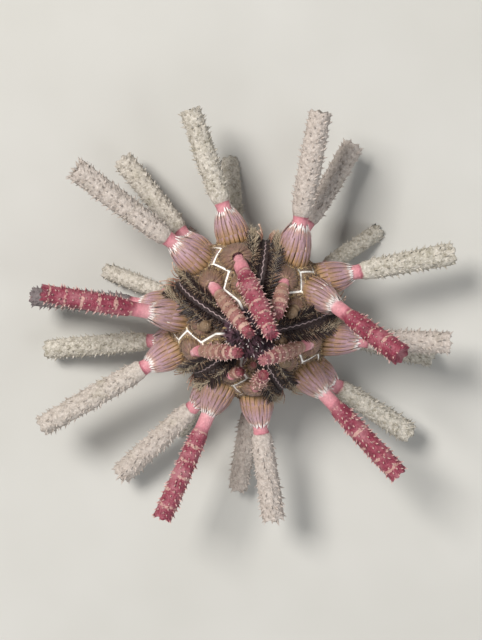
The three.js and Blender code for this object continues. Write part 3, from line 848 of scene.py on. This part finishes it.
# %% Where the zigzag turns, and the skin's grid
ZIGZAG = 1.7            # how far the zigzag swings beside the middle of a sector
ZIGZAG_SLOPE = 0.78     # a sideways distance to the slanting line, times this, is square to it
BAND_WAVE = 0.16
BAND_WAVE_RATE = 3.3
FULL_SWING_RADIUS = 16
TIER_COLUMN = np.array([tier[0] for tier in TIERS.values()])
TIER_COLATITUDE = np.array([tier[1] for tier in TIERS.values()], float)
TIER_DOWN = arc(TIER_COLATITUDE)
ZIGZAG_SWING = -ZIGZAG * TIER_COLUMN * np.clip(
    test_radius(TIER_COLATITUDE) / FULL_SWING_RADIUS, 0.25, 1)
FAR = 9.0               # a distance past which no mark on the skin reaches
SKIN_ROUND = 480
SKIN_DOWN = 160
skin_azimuth = (np.arange(SKIN_ROUND) / SKIN_ROUND * 360)[None] + 0 * np.zeros((SKIN_DOWN, 1))
skin_colatitude = np.linspace(1.2, 178.8, SKIN_DOWN)[:, None] + 0 * skin_azimuth
print("the skin's grid has", skin_azimuth.size, "points")

# %% Distances on the test
BOSS_WIDTH = 0.42       # as a share of the skirt's foot
BOSS_HEIGHT = 0.62      # as a share of the spine's neck


def surface_marks(azimuth, colatitude):
    """Millimetres to a band's wavy middle, to the zigzag, which is straight between
    the tiers, and to the plate sutures, which lie halfway between a column's knobs."""
    radius, down = test_radius(colatitude), arc(colatitude)
    from_band = (azimuth - FIRST_BAND + RAY_STEP / 2) % RAY_STEP - RAY_STEP / 2
    band = np.abs(from_band * DEG * radius + BAND_WAVE * np.sin(down * BAND_WAVE_RATE))
    across = ((azimuth - FIRST_BAND) % RAY_STEP - RAY_STEP / 2) * DEG * radius
    beside = across - np.interp(down, TIER_DOWN, ZIGZAG_SWING)
    plate = np.full_like(azimuth, FAR)
    for column in (-1, 1):
        own = TIER_DOWN[TIER_COLUMN == column]
        for edge in (own[1:] + own[:-1]) / 2:
            nearer = np.minimum(plate, np.abs(down - edge))
            plate = np.where(np.sign(beside) == column, nearer, plate)
    return band, np.abs(beside) * ZIGZAG_SLOPE, plate


def knob_marks(points):
    """Distance to the nearest knob, as a share of that knob's skirt foot, and the
    height of its boss, which is a hump as high as a share of its spine's neck."""
    nearest = np.full(points.shape[:-1], FAR)
    boss = np.zeros(points.shape[:-1])
    for spine in EVERY:
        away = np.linalg.norm(points - spine["root"], axis=-1) / spine["foot"]
        nearest = np.minimum(nearest, away)
        boss = np.maximum(boss, hump(away, 0, BOSS_WIDTH) * spine["neck"] * BOSS_HEIGHT)
    return nearest, boss


# %% Height of the skin over the ball
PLATE_HEIGHT = 0.42
BAND_HEIGHT = 0.18
DISC_EDGE = (6.4, 7.6)  # the step from disc to plates, in millimetres from the apex
MOUTH_EDGE = (8.6, 9.6)


def skin_relief(azimuth, colatitude):
    """Plates stand proud of their sutures, each knob on its boss in a ringed hollow;
    bands are lower, with a groove down the middle; disc and mouth skin are plain."""
    points = on_test(azimuth, colatitude)
    band, suture, plate = surface_marks(azimuth, colatitude)
    knob, boss = knob_marks(points)
    half = band_half(colatitude)
    apex = arc(colatitude)
    mouth = ARC_TABLE[-1] - apex
    disc = 1 - smooth(*DISC_EDGE, apex)
    peristome = 1 - smooth(*MOUTH_EDGE, mouth)
    in_band = 1 - smooth(0.75, 1.1, band / half)
    groove = hump(suture, 0, 0.32) + 0.8 * hump(plate, 0, 0.28)
    ridge = 0.3 * hump(knob, 1.05, 0.14) - 0.35 * hump(knob, 0.62, 0.2)
    plates = PLATE_HEIGHT - 0.5 * np.clip(groove, 0, 1) + boss + ridge
    bands = BAND_HEIGHT - 0.3 * hump(band, 0, 0.3)
    shell = plates * (1 - in_band) + bands * in_band
    scales = np.sin(mouth * 3.6) * np.cos(azimuth * DEG * 20)      # twenty rows on the mouth skin
    height = (shell * (1 - disc) * (1 - peristome) + 0.12 * (disc + peristome)
              + disc * 0.3 * lumps(points, 3.0, 5) + peristome * 0.35 * scales
              + 0.06 * lumps(points, 1.2, 6))
    marks = {"band": band / half, "suture": suture,
             "branch": plate + 0.10 * smooth(2.0, 6.0, suture),
             "knob": knob, "apex": apex / 10, "mouth": mouth / 10}
    return height, marks


# %% The finish of the skin
KNOB_PINK = rgb(150, 118, 112)
SOCKET_TAN = rgb(176, 156, 130)
BAND_DARK = rgb(46, 34, 33)
BAND_LINE = rgb(184, 162, 162)
SUTURE_WHITE = rgb(255, 252, 246)
BRANCH_CREAM = rgb(248, 240, 222)
BRANCH_GOLD = rgb(206, 166, 104)
DISC_AND_SHADE_PURPLE = rgb(84, 56, 66)
MOUTH_BROWN = rgb(150, 116, 106)
MOUTH_PALE = rgb(196, 172, 156)


def skin_finish():
    """Mottled plates, then bands, branches, the zigzag, the disc and the mouth skin
    over them, each by a step of its distance. The disc's dark colour is the disc's own
    purple, and about a millimetre past the disc's edge it is painted shade round the
    feet of the inner spines."""
    paint = Paint("test_skin", 0.62, 0.3)
    band, suture = paint.attribute("band"), paint.attribute("suture")
    paint.colour = paint.ramp(paint.noise(3.0, 4.0), (0.35, OLIVE), (0.52, TAN), (0.7, MAUVE))
    paint.cover(paint.step(paint.attribute("knob"), 0.25, 0.8, 0.85, 0.0), KNOB_PINK)
    paint.cover(paint.times(paint.step(paint.cells(0.75), 0.25, 0.5, 1.0, 0.0), 0.3), SOCKET_TAN)
    paint.cover(paint.ramp(band, (0.0, 1.0), (0.62, 1.0), (1.0, 0.0)), BAND_DARK)
    paint.cover(paint.step(band, 0.03, 0.085, 0.9, 0.0), BAND_LINE)
    on_plates = paint.step(band, 0.8, 1.1)
    branch = paint.step(paint.attribute("branch"), 0.16, 0.28, 0.95, 0.0)
    fade = paint.ramp(paint.times(suture, 0.2), (0.15, BRANCH_CREAM), (0.6, BRANCH_GOLD))
    paint.cover(paint.times(branch, on_plates), fade)
    paint.cover(paint.times(paint.step(suture, 0.18, 0.28, 1.0, 0.0), on_plates), SUTURE_WHITE)
    # The disc's own purple-black, full to 7 mm from the apex and fading out by 8.6 mm; past the disc's
    # raised edge at 7.6 mm it is painted shade round the feet of the inner spines
    disc = paint.ramp(paint.cells(2.4), (0.3, PURPLE_BLACK), (0.62, DISC_AND_SHADE_PURPLE))
    paint.cover(paint.step(paint.attribute("apex"), 0.7, 0.86, 1.0, 0.0), disc)
    mouth = paint.ramp(paint.noise(1.5), (0.4, MOUTH_BROWN), (0.6, MOUTH_PALE))
    paint.cover(paint.step(paint.attribute("mouth"), 0.86, 0.96, 1.0, 0.0), mouth)
    height = paint.plus(paint.noise(0.5, 4.0), paint.times(paint.cells(0.75), -1.2))
    return paint.finish(None, height, 0.16)


# %% Build the skin
def with_poles(grid):
    """A grid's values in one row, and then the mean of its first and last rings."""
    return add_ends(grid, grid[0].mean(), grid[-1].mean())


relief, skin_marks = skin_relief(skin_azimuth, skin_colatitude)
skin_points = on_test(skin_azimuth, skin_colatitude, relief)
poles = np.array([on_test(0.0, 0.0, 0.2), on_test(0.0, 180.0, -0.6)])
skin_map = np.stack([add_ends(skin_azimuth / 360, 0, 0), add_ends(skin_colatitude / 180, 0, 1)], -1)
skin = make_piece(
    "test_skin", np.concatenate([skin_points.reshape(-1, 3), poles]),
    [group[:, ::-1] for group in tube_faces(SKIN_DOWN, SKIN_ROUND)],
    {key: with_poles(grid) for key, grid in skin_marks.items()},
    skin_map, skin_finish(), 1.0)
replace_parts(skin, "apical_disc", "peristome", *[f"ambulacrum_{k + 1}" for k in range(5)])

# %% [markdown]
# ## The skirts
# Round the foot of each primary spine stands a ring of flat scrobicular spines
# that close like a cup. Each is a blade: a lens-shaped section, widest above its
# foot, mauve with a golden edge and a pale tip. A skirt has two tall rows whose
# blades stand in each other's gaps, and a short open row outside them. Where a
# spine leans far over, a row of lining fills the gap between its skirt and neck.
# The small inner spines have low brown domes in place of cups.

# %% Outline and rows of the blades
BLADE_PITCH = 1.12      # millimetres from one blade to the next round a skirt's foot
BLADE_SINK = 0.5
BLADE_THICKNESS = 0.42
LINED_BELOW = 0.7       # the cosine of a spine's lean from which it needs a lining
SKIRT_GAIN = 1.14
SKIRT_LEAN = 56 * DEG
SKIRT_FOOT = 1.07
DOME_GAIN = 0.6
DOME_LEAN = 34 * DEG
DOME_FOOT = 1.2
LAYERS = (
    # height share, extra foot radius, tip radius beyond the neck, blade width in pitches, offset, bow
    (0.80, -1.1, 0.1, 1.35, 0.3, 0.35),
    (1.00, 0.0, 0.25, 1.36, 0.0, 1.05),
    (0.90, 0.22, 0.55, 1.2, 0.5, 1.05),
    (0.40, 0.5, 1.9, 1.0, 0.2, 0.45),
)


def blade_profile(y):
    """Half width: nearly even, then drawn in over the last third to a blunt point."""
    body = 0.44 + 0.08 * np.sin(np.clip(y * 1.3, 0, 1) * math.pi)
    return body * (1 - 0.3 * y) * (1 - 0.75 * smooth(0.72, 1.02, y)) + 0.01


BLADE, BLADE_FACES = tapered_template(6, 7, blade_profile, BLADE_THICKNESS)
print("a blade has", len(BLADE), "points")


# %% The blades of one skirt
def along_test(direction, normal):
    """What is left of a direction when its share along the normal is taken away."""
    return unit(direction - (direction @ normal)[..., None] * normal)


def skirt_rise(spine):
    """The way a skirt leans: with its spine, but no further over than it can. Between
    the normal and the axis it turns by the usual formula with sines of the angle."""
    lean_by = math.acos(float(np.clip(spine["axis"] @ spine["normal"], -1, 1)))
    most = DOME_LEAN if spine["dome"] else SKIRT_LEAN
    if lean_by < most:
        return spine["axis"]
    share = most / lean_by
    sine = math.sin(lean_by)
    return unit(spine["normal"] * math.sin((1 - share) * lean_by) / sine
                + spine["axis"] * math.sin(share * lean_by) / sine)


def skirt_row(spine, rise, draw, tall, foot_out, tip_out, wide, offset, bow):
    """One row: each blade runs from a foot on a ring in the test to a tip on a ring
    square to the rise, and its face looks out along its ray."""
    foot_radius, normal = spine["foot"], spine["normal"]
    count = max(8, int(round(2 * math.pi * foot_radius / BLADE_PITCH)))
    turn = (np.arange(count) + offset + draw.uniform(-0.14, 0.14, count)) / count * 2 * math.pi
    ray = ray_at(turn, rise)
    gain = DOME_GAIN if spine["dome"] else SKIRT_GAIN
    grown = spine["height"] * gain * tall * draw.uniform(0.9, 1.06, count)
    foot_ring = foot_radius * (DOME_FOOT if spine["dome"] else SKIRT_FOOT) + foot_out
    foot = spine["root"] + along_test(ray, normal) * foot_ring - normal * BLADE_SINK
    close = np.full(count, spine["neck"] + tip_out * (foot_radius / 4))
    if spine["dome"]:
        over = along_test(spine["axis"], normal)
        close *= 0.6 + 0.4 * (ray @ over)
    along = spine["root"] + rise * grown[:, None] + ray * close[:, None] - foot
    lengths = np.linalg.norm(along, axis=-1)
    along = unit(along)
    side = unit(np.cross(along, ray))
    twist = draw.uniform(-0.16, 0.16, count)[:, None]
    face = unit(np.cross(side, along) + side * twist)
    face *= np.sign((face * ray).sum(-1, keepdims=True))
    widths = np.full(count, 2 * math.pi * (foot_radius + foot_out) / count * wide)
    bows = np.full(count, bow * foot_radius / 4)
    return foot, np.cross(along, face), along, face, widths, lengths, widths * BLADE_THICKNESS, bows


def skirt_blades(spine, draw):
    """Place, directions and sizes of every blade in one skirt, row after row."""
    rows = []
    for number, layer in enumerate(LAYERS):
        lining = number == 0
        if lining and spine["axis"] @ spine["normal"] > LINED_BELOW:
            continue
        rise = spine["axis"] if lining else skirt_rise(spine)
        rows.append(skirt_row(spine, rise, draw, *layer))
    return [np.concatenate(group) for group in zip(*rows)]


trial = skirt_blades(EVERY[0], np.random.default_rng(0))
print("the skirt of the smallest spine has", len(trial[0]), "blades")

# %% The finish of the blades
BLADE_GOLD = rgb(184, 142, 92)
HOOD_GOLD = rgb(156, 124, 84)
UPPER_BROWN = 0.25


def blade_finish():
    """Tan at the foot, mauve above it and nearly white at the tip, with golden edges;
    the domes have a brown row of colours in place of it."""
    paint = Paint("skirt_blade", 0.5, 0.35, 0.1)
    along = paint.attribute("along")
    edge = paint.step(paint.attribute("edge"), 0.45, 0.9, 0.0, 0.75)
    hood = paint.ramp(along, (0.0, rgb(120, 94, 64)), (0.3, rgb(112, 86, 70)),
                      (0.8, rgb(126, 96, 84)), (1.0, rgb(150, 122, 98)))
    hood = paint.mix(edge, hood, HOOD_GOLD)
    paint.colour = paint.ramp(
        along, (0.0, rgb(138, 108, 76)), (0.18, rgb(158, 124, 90)), (0.44, rgb(158, 124, 122)),
        (0.7, rgb(172, 138, 148)), (0.86, rgb(190, 154, 142)), (0.94, rgb(250, 242, 238)))
    paint.cover(edge, BLADE_GOLD)
    paint.cover(paint.attribute("brown"), hood)
    paint.shade(paint.noise(0.5), 0.35, 0.7, 0.82, 1.06)
    paint.shade(paint.attribute("pick"), 0.0, 1.0, 0.84, 1.1)
    return paint.finish(None, paint.noise(0.22), 0.04)


BLADE_FINISH = blade_finish()


def brown_share(spine):
    """Domes are brown, the skirts next to them a little, and the rest are mauve."""
    return 1.0 if spine["dome"] else UPPER_BROWN if spine["name"] == "upper" else 0.0


# %% Five pieces of eleven skirts
def skirt_piece(k):
    """The skirts of one sector in one mesh; on the bake map a blade's patch lies near
    its spine, moved on from one blade to the next over seven columns and rows."""
    draw = np.random.default_rng(400 + k)
    sets = [skirt_blades(spine, draw) for spine in PLAN[k]]
    points = spread(BLADE, *(np.concatenate(group) for group in zip(*sets)))
    counts = [len(group[0]) for group in sets]
    count = sum(counts)
    brown = np.repeat([brown_share(spine) for spine in PLAN[k]], counts)
    spot = np.arange(count)
    azimuth = np.repeat([spine["azimuth"] for spine in PLAN[k]], counts)
    azimuth = azimuth + (spot % 7 - 3) * 1.1
    colatitude = np.repeat([spine["colatitude"] for spine in PLAN[k]], counts)
    colatitude = colatitude + (spot // 7 % 7 - 3) * 1.9
    return make_piece(
        f"skirts_{k + 1}", points.reshape(-1, 3), copies_of(BLADE_FACES, count, len(BLADE)),
        copy_marks(BLADE, count, draw, brown=brown),
        patch_map(BLADE, azimuth, colatitude, sector_middle(k), BLADE_PATCH),
        BLADE_FINISH)


for k in range(5):
    skirt_piece(k)

# %% [markdown]
# ## Fine spines of the bands
# Each band has two rows of slender dark spines that splay away from its middle
# and away from the apex, like the teeth of a comb, and inside them two rows of
# short ones. All the small needles below are one template with few faces, and
# one function roots them in the skin, because there are thousands.


# %% The needle's outline
def needle_profile(y):
    """Half width: nearly even for half its length, then down to a fine tip."""
    return 0.5 * (1 - 0.25 * y) * np.sqrt(np.clip(1 - y ** 4, 0, 1)) + 0.03


NEEDLE = tapered_template(5, 5, needle_profile)
BRISTLE = tapered_template(4, 4, needle_profile)
HAIR = tapered_template(3, 4, needle_profile)
print("points of a needle, a bristle and a hair:", [len(shape[0]) for shape in (NEEDLE, BRISTLE, HAIR)])


# %% Finishes of the needles
def needle_finish(name, roughness, *stops):
    """Colours from root to tip, with every needle a little darker or paler than the next."""
    paint = Paint(name, roughness, 0.4)
    paint.colour = paint.ramp(paint.attribute("along"), *stops)
    paint.shade(paint.attribute("pick"), 0.0, 1.0, 0.72, 1.2)
    return paint.finish(None, paint.noise(0.3, 2.0), 0.03)


DARK_NEEDLE = needle_finish("band_spine", 0.4, (0.0, rgb(50, 36, 34)), (0.25, DARK_BROWN),
                            (0.8, rgb(38, 25, 25)), (1.0, rgb(84, 66, 60)))
BROWN_NEEDLE = needle_finish("plate_needle", 0.55, (0.0, rgb(66, 50, 42)), (0.4, rgb(104, 82, 68)),
                             (0.8, rgb(134, 110, 90)), (1.0, rgb(180, 152, 116)))
PALE_HAIR = needle_finish("pale_hair", 0.6, (0.0, rgb(104, 84, 66)), (0.5, rgb(152, 132, 108)),
                          (1.0, rgb(206, 192, 168)))
GOLD_NEEDLE = needle_finish("suture_needle", 0.5, (0.0, rgb(110, 84, 60)), (0.5, rgb(184, 150, 98)),
                            (1.0, rgb(232, 212, 166)))
WHITE_NEEDLE = needle_finish("apical_needle", 0.5, (0.0, rgb(120, 100, 104)),
                             (0.5, rgb(196, 184, 184)), (1.0, rgb(236, 230, 226)))

# %% Needles rooted in the test
ROOT_SINK = 0.15        # how deep a needle's root stands in the skin


def splayed(azimuth, colatitude, side_way, down_way, out_way):
    """Directions made of sideways, downwards and outwards shares on the test."""
    normal = test_normal(azimuth, colatitude)
    down = test_down(azimuth, colatitude)
    across = np.cross(normal, down)
    return unit(across * np.asarray(side_way)[..., None] + down * np.asarray(down_way)[..., None]
                + normal * np.asarray(out_way)[..., None])


def beside_band(k, share, colatitude):
    """The azimuth that lies some share of a band's half width beside its middle."""
    return band_middle(k) + share * band_half(colatitude) / test_radius(colatitude) / DEG


def needle_piece(name, places, along, sizes, middle, finish, seed, shape=NEEDLE, bow=0.0,
                 slot="spiny_plates", span=SECTOR_SPAN):
    """One mesh of needles. Places are azimuths and colatitudes, sizes are widths and lengths."""
    (azimuth, colatitude), (widths, lengths), (template, faces) = places, sizes, shape
    root = on_test(azimuth, colatitude, skin_relief(azimuth, colatitude)[0] - ROOT_SINK)
    count = len(root)
    right = unit(np.cross(along, test_normal(azimuth, colatitude)))
    face = np.cross(right, along)
    points = spread(template, root, right, along, face, widths, lengths, widths, np.full(count, bow))
    points[..., 2] = np.maximum(points[..., 2], LOWEST)
    return make_piece(
        name, points.reshape(-1, 3), copies_of(faces, count, len(template)),
        copy_marks(template, count, np.random.default_rng(seed)),
        patch_map(template, azimuth, colatitude, middle, NEEDLE_PATCH, span), finish)


# %% The dark rows of the bands
BAND_REACH = (7.8, 49.0)
BAND_PITCH = 0.62
BAND_ROWS = (
    # share of the band's half width, length, width, outward share
    (0.74, 5.2, 0.5, 0.5),
    (0.4, 2.4, 0.32, 0.75),
)


def band_piece(k):
    """A long outer row and a short inner row on each side, shorter near both poles."""
    draw = np.random.default_rng(700 + k)
    down = np.arange(*BAND_REACH, BAND_PITCH)
    count = len(down)
    colatitude = colatitude_at(down)
    near_pole = smooth(6.0, 16.0, down) * (1 - 0.45 * smooth(30, 46, down))
    rows = [(
        beside_band(k, side * share, colatitude),
        colatitude + draw.uniform(-0.5, 0.5, count),
        side * (0.78 + draw.uniform(-0.08, 0.08, count)),
        0.55 + draw.uniform(-0.1, 0.1, count),
        out_way + draw.uniform(-0.05, 0.12, count),
        np.full(count, wide),
        long_mm * (0.45 + 0.55 * near_pole) * draw.uniform(0.9, 1.1, count))
        for share, long_mm, wide, out_way in BAND_ROWS for side in (-1, 1)]
    azimuth, colatitude, *ways, widths, lengths = (np.concatenate(group) for group in zip(*rows))
    return needle_piece(
        f"band_spines_{k + 1}", (azimuth, colatitude), splayed(azimuth, colatitude, *ways),
        (widths, lengths), band_middle(k), DARK_NEEDLE, 720 + k, bow=0.25, slot="pore_bands")


for k in range(5):
    band_piece(k)

# %% [markdown]
# ## The small needles between the skirts
# Between the skirts the plates are furred with short needles that lie against
# the test and point away from the nearest skirt. Along the white sutures they stop,
# and a comb of golden ones points at the suture from either side. Longer pale
# hairs hang from the edges of the sectors and show between the skirts.

# %% Places on a sector, and directions away from the nearest knob
ROOTS = np.array([spine["root"] for spine in EVERY])
FEET = np.array([spine["foot"] for spine in EVERY])
NEEDLED = (7.2, 49.0)   # millimetres down the test, from the disc to the mouth skin


def away_from_knob(azimuth, colatitude, rise):
    """Along the test, away from the nearest skirt, lifted by a share of the normal;
    and the distance from that skirt's middle as a share of its foot."""
    points = on_test(azimuth, colatitude)
    normal = test_normal(azimuth, colatitude)
    gaps = np.linalg.norm(points[:, None] - ROOTS, axis=-1) / FEET
    flat = points - ROOTS[gaps.argmin(1)]
    flat = unit(flat - (flat * normal).sum(-1, keepdims=True) * normal)
    return unit(flat + normal * rise[..., None]), gaps.min(1)


def scatter(k, wanted, draw):
    """Places drawn evenly over one sector, by height down the test and azimuth."""
    colatitude = colatitude_at(draw.uniform(*NEEDLED, wanted))
    radius = test_radius(colatitude)
    span = RAY_STEP / 2 - band_half(colatitude) / radius / DEG
    azimuth = sector_middle(k) + draw.uniform(-1, 1, wanted) * span
    keep = draw.uniform(0, 1, wanted) < radius / TEST_RADIUS
    return azimuth[keep], colatitude[keep]


def chosen(keep, *arrays):
    """Each array without the places that aren't kept."""
    return [array[keep] for array in arrays]


print("needles go from", NEEDLED[0], "to", NEEDLED[1], "mm down the test")

# %% Needles on the plates
PLATE_TRIES = 9500      # places drawn over a sector, before those on skirts and lines go
LONGEST_FROM = 28       # degrees from a sector's middle to where its bristles are longest


def plate_piece(k):
    """Bristles away from the skirts and the sutures, longer towards the sector's edges."""
    draw = np.random.default_rng(900 + k)
    azimuth, colatitude = scatter(k, PLATE_TRIES, draw)
    band, suture, plate = surface_marks(azimuth, colatitude)
    along, gap = away_from_knob(azimuth, colatitude, draw.uniform(0.25, 0.6, len(azimuth)))
    keep = (gap > 1.0) & (suture > 1.2) & (plate > 0.9) & (band > band_half(colatitude) + 0.6)
    azimuth, colatitude, along = chosen(keep, azimuth, colatitude, along)
    along = unit(along + draw.normal(0, 0.13, along.shape))
    edge = np.clip(np.abs(azimuth - sector_middle(k)) / LONGEST_FROM, 0, 1)
    lengths = (0.95 + 1.5 * edge ** 3) * draw.uniform(0.7, 1.25, len(azimuth))
    sizes = 0.2 + 0.08 * edge, lengths
    return needle_piece(f"plate_needles_{k + 1}", (azimuth, colatitude), along, sizes,
                        sector_middle(k), BROWN_NEEDLE, 920 + k, BRISTLE, 0.1)


for k in range(5):
    plate_piece(k)

# %% The golden combs along the sutures
COMB_TRIES = 30000


def comb_piece(k):
    """Fine hairs that stand in a narrow strip on both sides of every suture."""
    draw = np.random.default_rng(950 + k)
    azimuth, colatitude = scatter(k, COMB_TRIES, draw)
    _, suture, plate = surface_marks(azimuth, colatitude)
    along, gap = away_from_knob(azimuth, colatitude, draw.uniform(0.2, 0.4, len(azimuth)))
    by_zigzag = (suture > 1.15) & (suture < 1.5)
    by_plate = (plate > 0.9) & (plate < 1.15) & (suture > 1.0)
    keep = (gap > 1.02) & (by_zigzag | by_plate)
    azimuth, colatitude, along = chosen(keep, azimuth, colatitude, along)
    count = len(azimuth)
    sizes = np.full(count, 0.17), 0.66 * draw.uniform(0.75, 1.1, count)
    return needle_piece(f"suture_combs_{k + 1}", (azimuth, colatitude), along, sizes,
                        sector_middle(k), GOLD_NEEDLE, 970 + k, HAIR, 0.06)


for k in range(5):
    comb_piece(k)

# %% The pale hairs at the edges of the sectors
HAIR_TRIES = 11000


def hair_piece(k):
    """Hairs in a strip beside each band, longest at the widest line."""
    draw = np.random.default_rng(1000 + k)
    azimuth, colatitude = scatter(k, HAIR_TRIES, draw)
    beside = azimuth - sector_middle(k)
    from_edge = (RAY_STEP / 2 - np.abs(beside)) * DEG * test_radius(colatitude) - band_half(colatitude)
    keep = (from_edge < 2.4) & (from_edge > 0.5) & (colatitude > 30)
    azimuth, colatitude, side = chosen(keep, azimuth, colatitude, np.sign(beside))
    count = len(azimuth)
    along = splayed(azimuth, colatitude, side * draw.uniform(-0.2, 0.9, count),
                    draw.uniform(0.1, 0.9, count), draw.uniform(0.45, 1.0, count))
    lengths = (1.6 + 2.6 * smooth(45, 85, colatitude)) * draw.uniform(0.6, 1.15, count)
    sizes = np.full(count, 0.15), lengths
    return needle_piece(f"edge_hairs_{k + 1}", (azimuth, colatitude), along, sizes,
                        sector_middle(k), PALE_HAIR, 1020 + k, HAIR, 0.3)


for k in range(5):
    hair_piece(k)

# %% Short needles on the apical disc
DISC_REACH = 7.6        # millimetres from the apex
ALL_ROUND = {"middle": 180.0, "span": 380.0}


def apical_piece(name, count, seed, longest, finish):
    """Needles drawn evenly over the disc: the distance from the apex goes as a root."""
    draw = np.random.default_rng(seed)
    azimuth = draw.uniform(0, 360, count)
    colatitude = colatitude_at(DISC_REACH * np.sqrt(draw.uniform(0.02, 1, count)))
    along = splayed(azimuth, colatitude, draw.uniform(-0.6, 0.6, count),
                    draw.uniform(-0.3, 0.7, count), np.full(count, 0.9))
    sizes = draw.uniform(0.2, 0.38, count), draw.uniform(0.5, longest, count)
    return needle_piece(name, (azimuth, colatitude), along, sizes, finish=finish, seed=seed + 1,
                        slot="apical_plates", **ALL_ROUND)


apical_piece("apical_needles_dark", 220, 40, 2.4, DARK_NEEDLE)
apical_piece("apical_needles_white", 90, 44, 1.7, WHITE_NEEDLE)


# %% Tube feet on the lower half
def tube_foot_profile(y):
    """Half width of a thin tube with a small sucker at its end."""
    return 0.32 + 0.22 * smooth(0.9, 1.0, y) - 0.08 * smooth(0.2, 0.8, y)


TUBE_FOOT = tapered_template(6, 9, tube_foot_profile)
FOOT_FINISH = needle_finish("tube_foot", 0.35, (0.0, rgb(120, 84, 72)), (0.6, rgb(160, 118, 100)),
                            (1.0, rgb(206, 180, 160)))
FOOT_COLATITUDES = np.arange(84, 150, 5.0)


def feet_piece(k):
    """A pair of tube feet at every step down the lower half of a band."""
    draw = np.random.default_rng(1100 + k)
    count = 2 * len(FOOT_COLATITUDES)
    colatitude = np.repeat(FOOT_COLATITUDES, 2) + draw.uniform(-1, 1, count)
    side = np.tile([-1.0, 1.0], count // 2)
    azimuth = beside_band(k, side * 0.52, colatitude)
    along = splayed(azimuth, colatitude, side * draw.uniform(0.1, 0.5, count),
                    draw.uniform(0, 0.5, count), np.full(count, 0.9))
    sizes = np.full(count, 0.5), draw.uniform(3.0, 5.5, count)
    return needle_piece(f"tube_feet_{k + 1}", (azimuth, colatitude), along, sizes, band_middle(k),
                        FOOT_FINISH, 1120 + k, TUBE_FOOT, 0.7, "pore_bands")


for k in range(5):
    feet_piece(k)

# %% [markdown]
# ## The teeth
# In the middle of the mouth five teeth meet in a point. The solids already have
# their shape, so that node stays and gets a smooth off-white finish.

# %% Finish of the teeth
tooth_paint = Paint("tooth_calcite", 0.3, 0.5)
tooth_paint.colour = tooth_paint.ramp(
    tooth_paint.noise(1.2), (0.35, rgb(222, 212, 190)), (0.7, rgb(246, 240, 226)))
tooth_material = tooth_paint.finish(None, tooth_paint.noise(0.6), 0.04)
for slot_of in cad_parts["teeth"].material_slots:
    slot_of.material = tooth_material

# %% [markdown]
# ## Floor, light and camera
# The photo looks down on the animal from nearly straight above, and from the side
# that its top leans away from, so the camera stands there and is rolled so that
# +Y is up in the picture. The light is broad and soft, as under a cloudy sky.

# %% Floor
FLOOR_HALF = 1.5
floor_paint = Paint("floor_paint", 0.8, 0.2)
floor_paint.colour = floor_paint.ramp(
    floor_paint.noise(60.0), (0.3, rgb(186, 184, 178)), (0.7, rgb(193, 191, 186)))
floor_mesh = bpy.data.meshes.new("floor")
floor_mesh.from_pydata(
    [(x * FLOOR_HALF, y * FLOOR_HALF, 0) for x, y in ((-1, -1), (1, -1), (1, 1), (-1, 1))],
    [], [(0, 1, 2, 3)])
floor_mesh.materials.append(floor_paint.finish())
floor = bpy.data.objects.new("floor", floor_mesh)
bpy.context.scene.collection.objects.link(floor)
print("the floor is", 2 * FLOOR_HALF, "m square")


# %% Lights
def put(name, data, place, back, top):
    """Links a lamp or camera at a place; back and top are its own +Z and +Y in the room."""
    thing = bpy.data.objects.new(name, data)
    bpy.context.scene.collection.objects.link(thing)
    right = np.cross(top, back)
    thing.matrix_world = Matrix(
        [[right[i], top[i], back[i], place[i]] for i in range(3)] + [[0, 0, 0, 1]])
    return thing


LIT_POINT = np.array([0, 0, 0.02])
LAMP_TOP = np.array([0.1, 1.0, 0.3])


def soft_light(name, place, size, power, colour):
    """A square lamp that looks at the part; its top is what is left of a fixed direction."""
    light = bpy.data.lights.new(name, "AREA")
    light.size = size
    light.energy = power
    light.color = colour
    back = unit(np.array(place, float) - LIT_POINT)
    put(name, light, place, back, unit(LAMP_TOP - np.dot(LAMP_TOP, back) * back))
    print(name, "gives", power, "W from a square of", size, "m")


soft_light("key_light", (-0.6, 0.65, 1.2), 0.5, 27.0, (1.0, 0.98, 0.95))
soft_light("fill_light", (1.1, -0.5, 0.9), 1.0, 9.0, (0.93, 0.97, 1.0))
soft_light("low_light", (-0.5, -1.3, 0.5), 0.8, 5.0, (1.0, 0.97, 0.93))
world = bpy.data.worlds.new("studio")
world.use_nodes = True
sky = world.node_tree.nodes["Background"]
sky.inputs["Color"].default_value = (0.85, 0.88, 0.92, 1)
sky.inputs["Strength"].default_value = 0.24
bpy.context.scene.world = world
bpy.context.scene.view_settings.view_transform = "Standard"

# %% Camera
CAMERA_TILT = 10 * DEG
CAMERA_LENS = 100.0
PICTURE_HEIGHT = 0.178
SENSOR = 36.0
target = np.array([0.0, 0.0, 0.025])
distance = PICTURE_HEIGHT / 2 / (SENSOR / 2 / CAMERA_LENS)
back = np.array([0, math.sin(CAMERA_TILT), math.cos(CAMERA_TILT)])
top = np.array([0, math.cos(CAMERA_TILT), -math.sin(CAMERA_TILT)])
camera_data = bpy.data.cameras.new("camera")
camera_data.lens = CAMERA_LENS
camera_data.sensor_width = SENSOR
bpy.context.scene.camera = put("camera", camera_data, target + back * distance, back, top)
print("the camera stands", round(distance, 3), "m from the part")
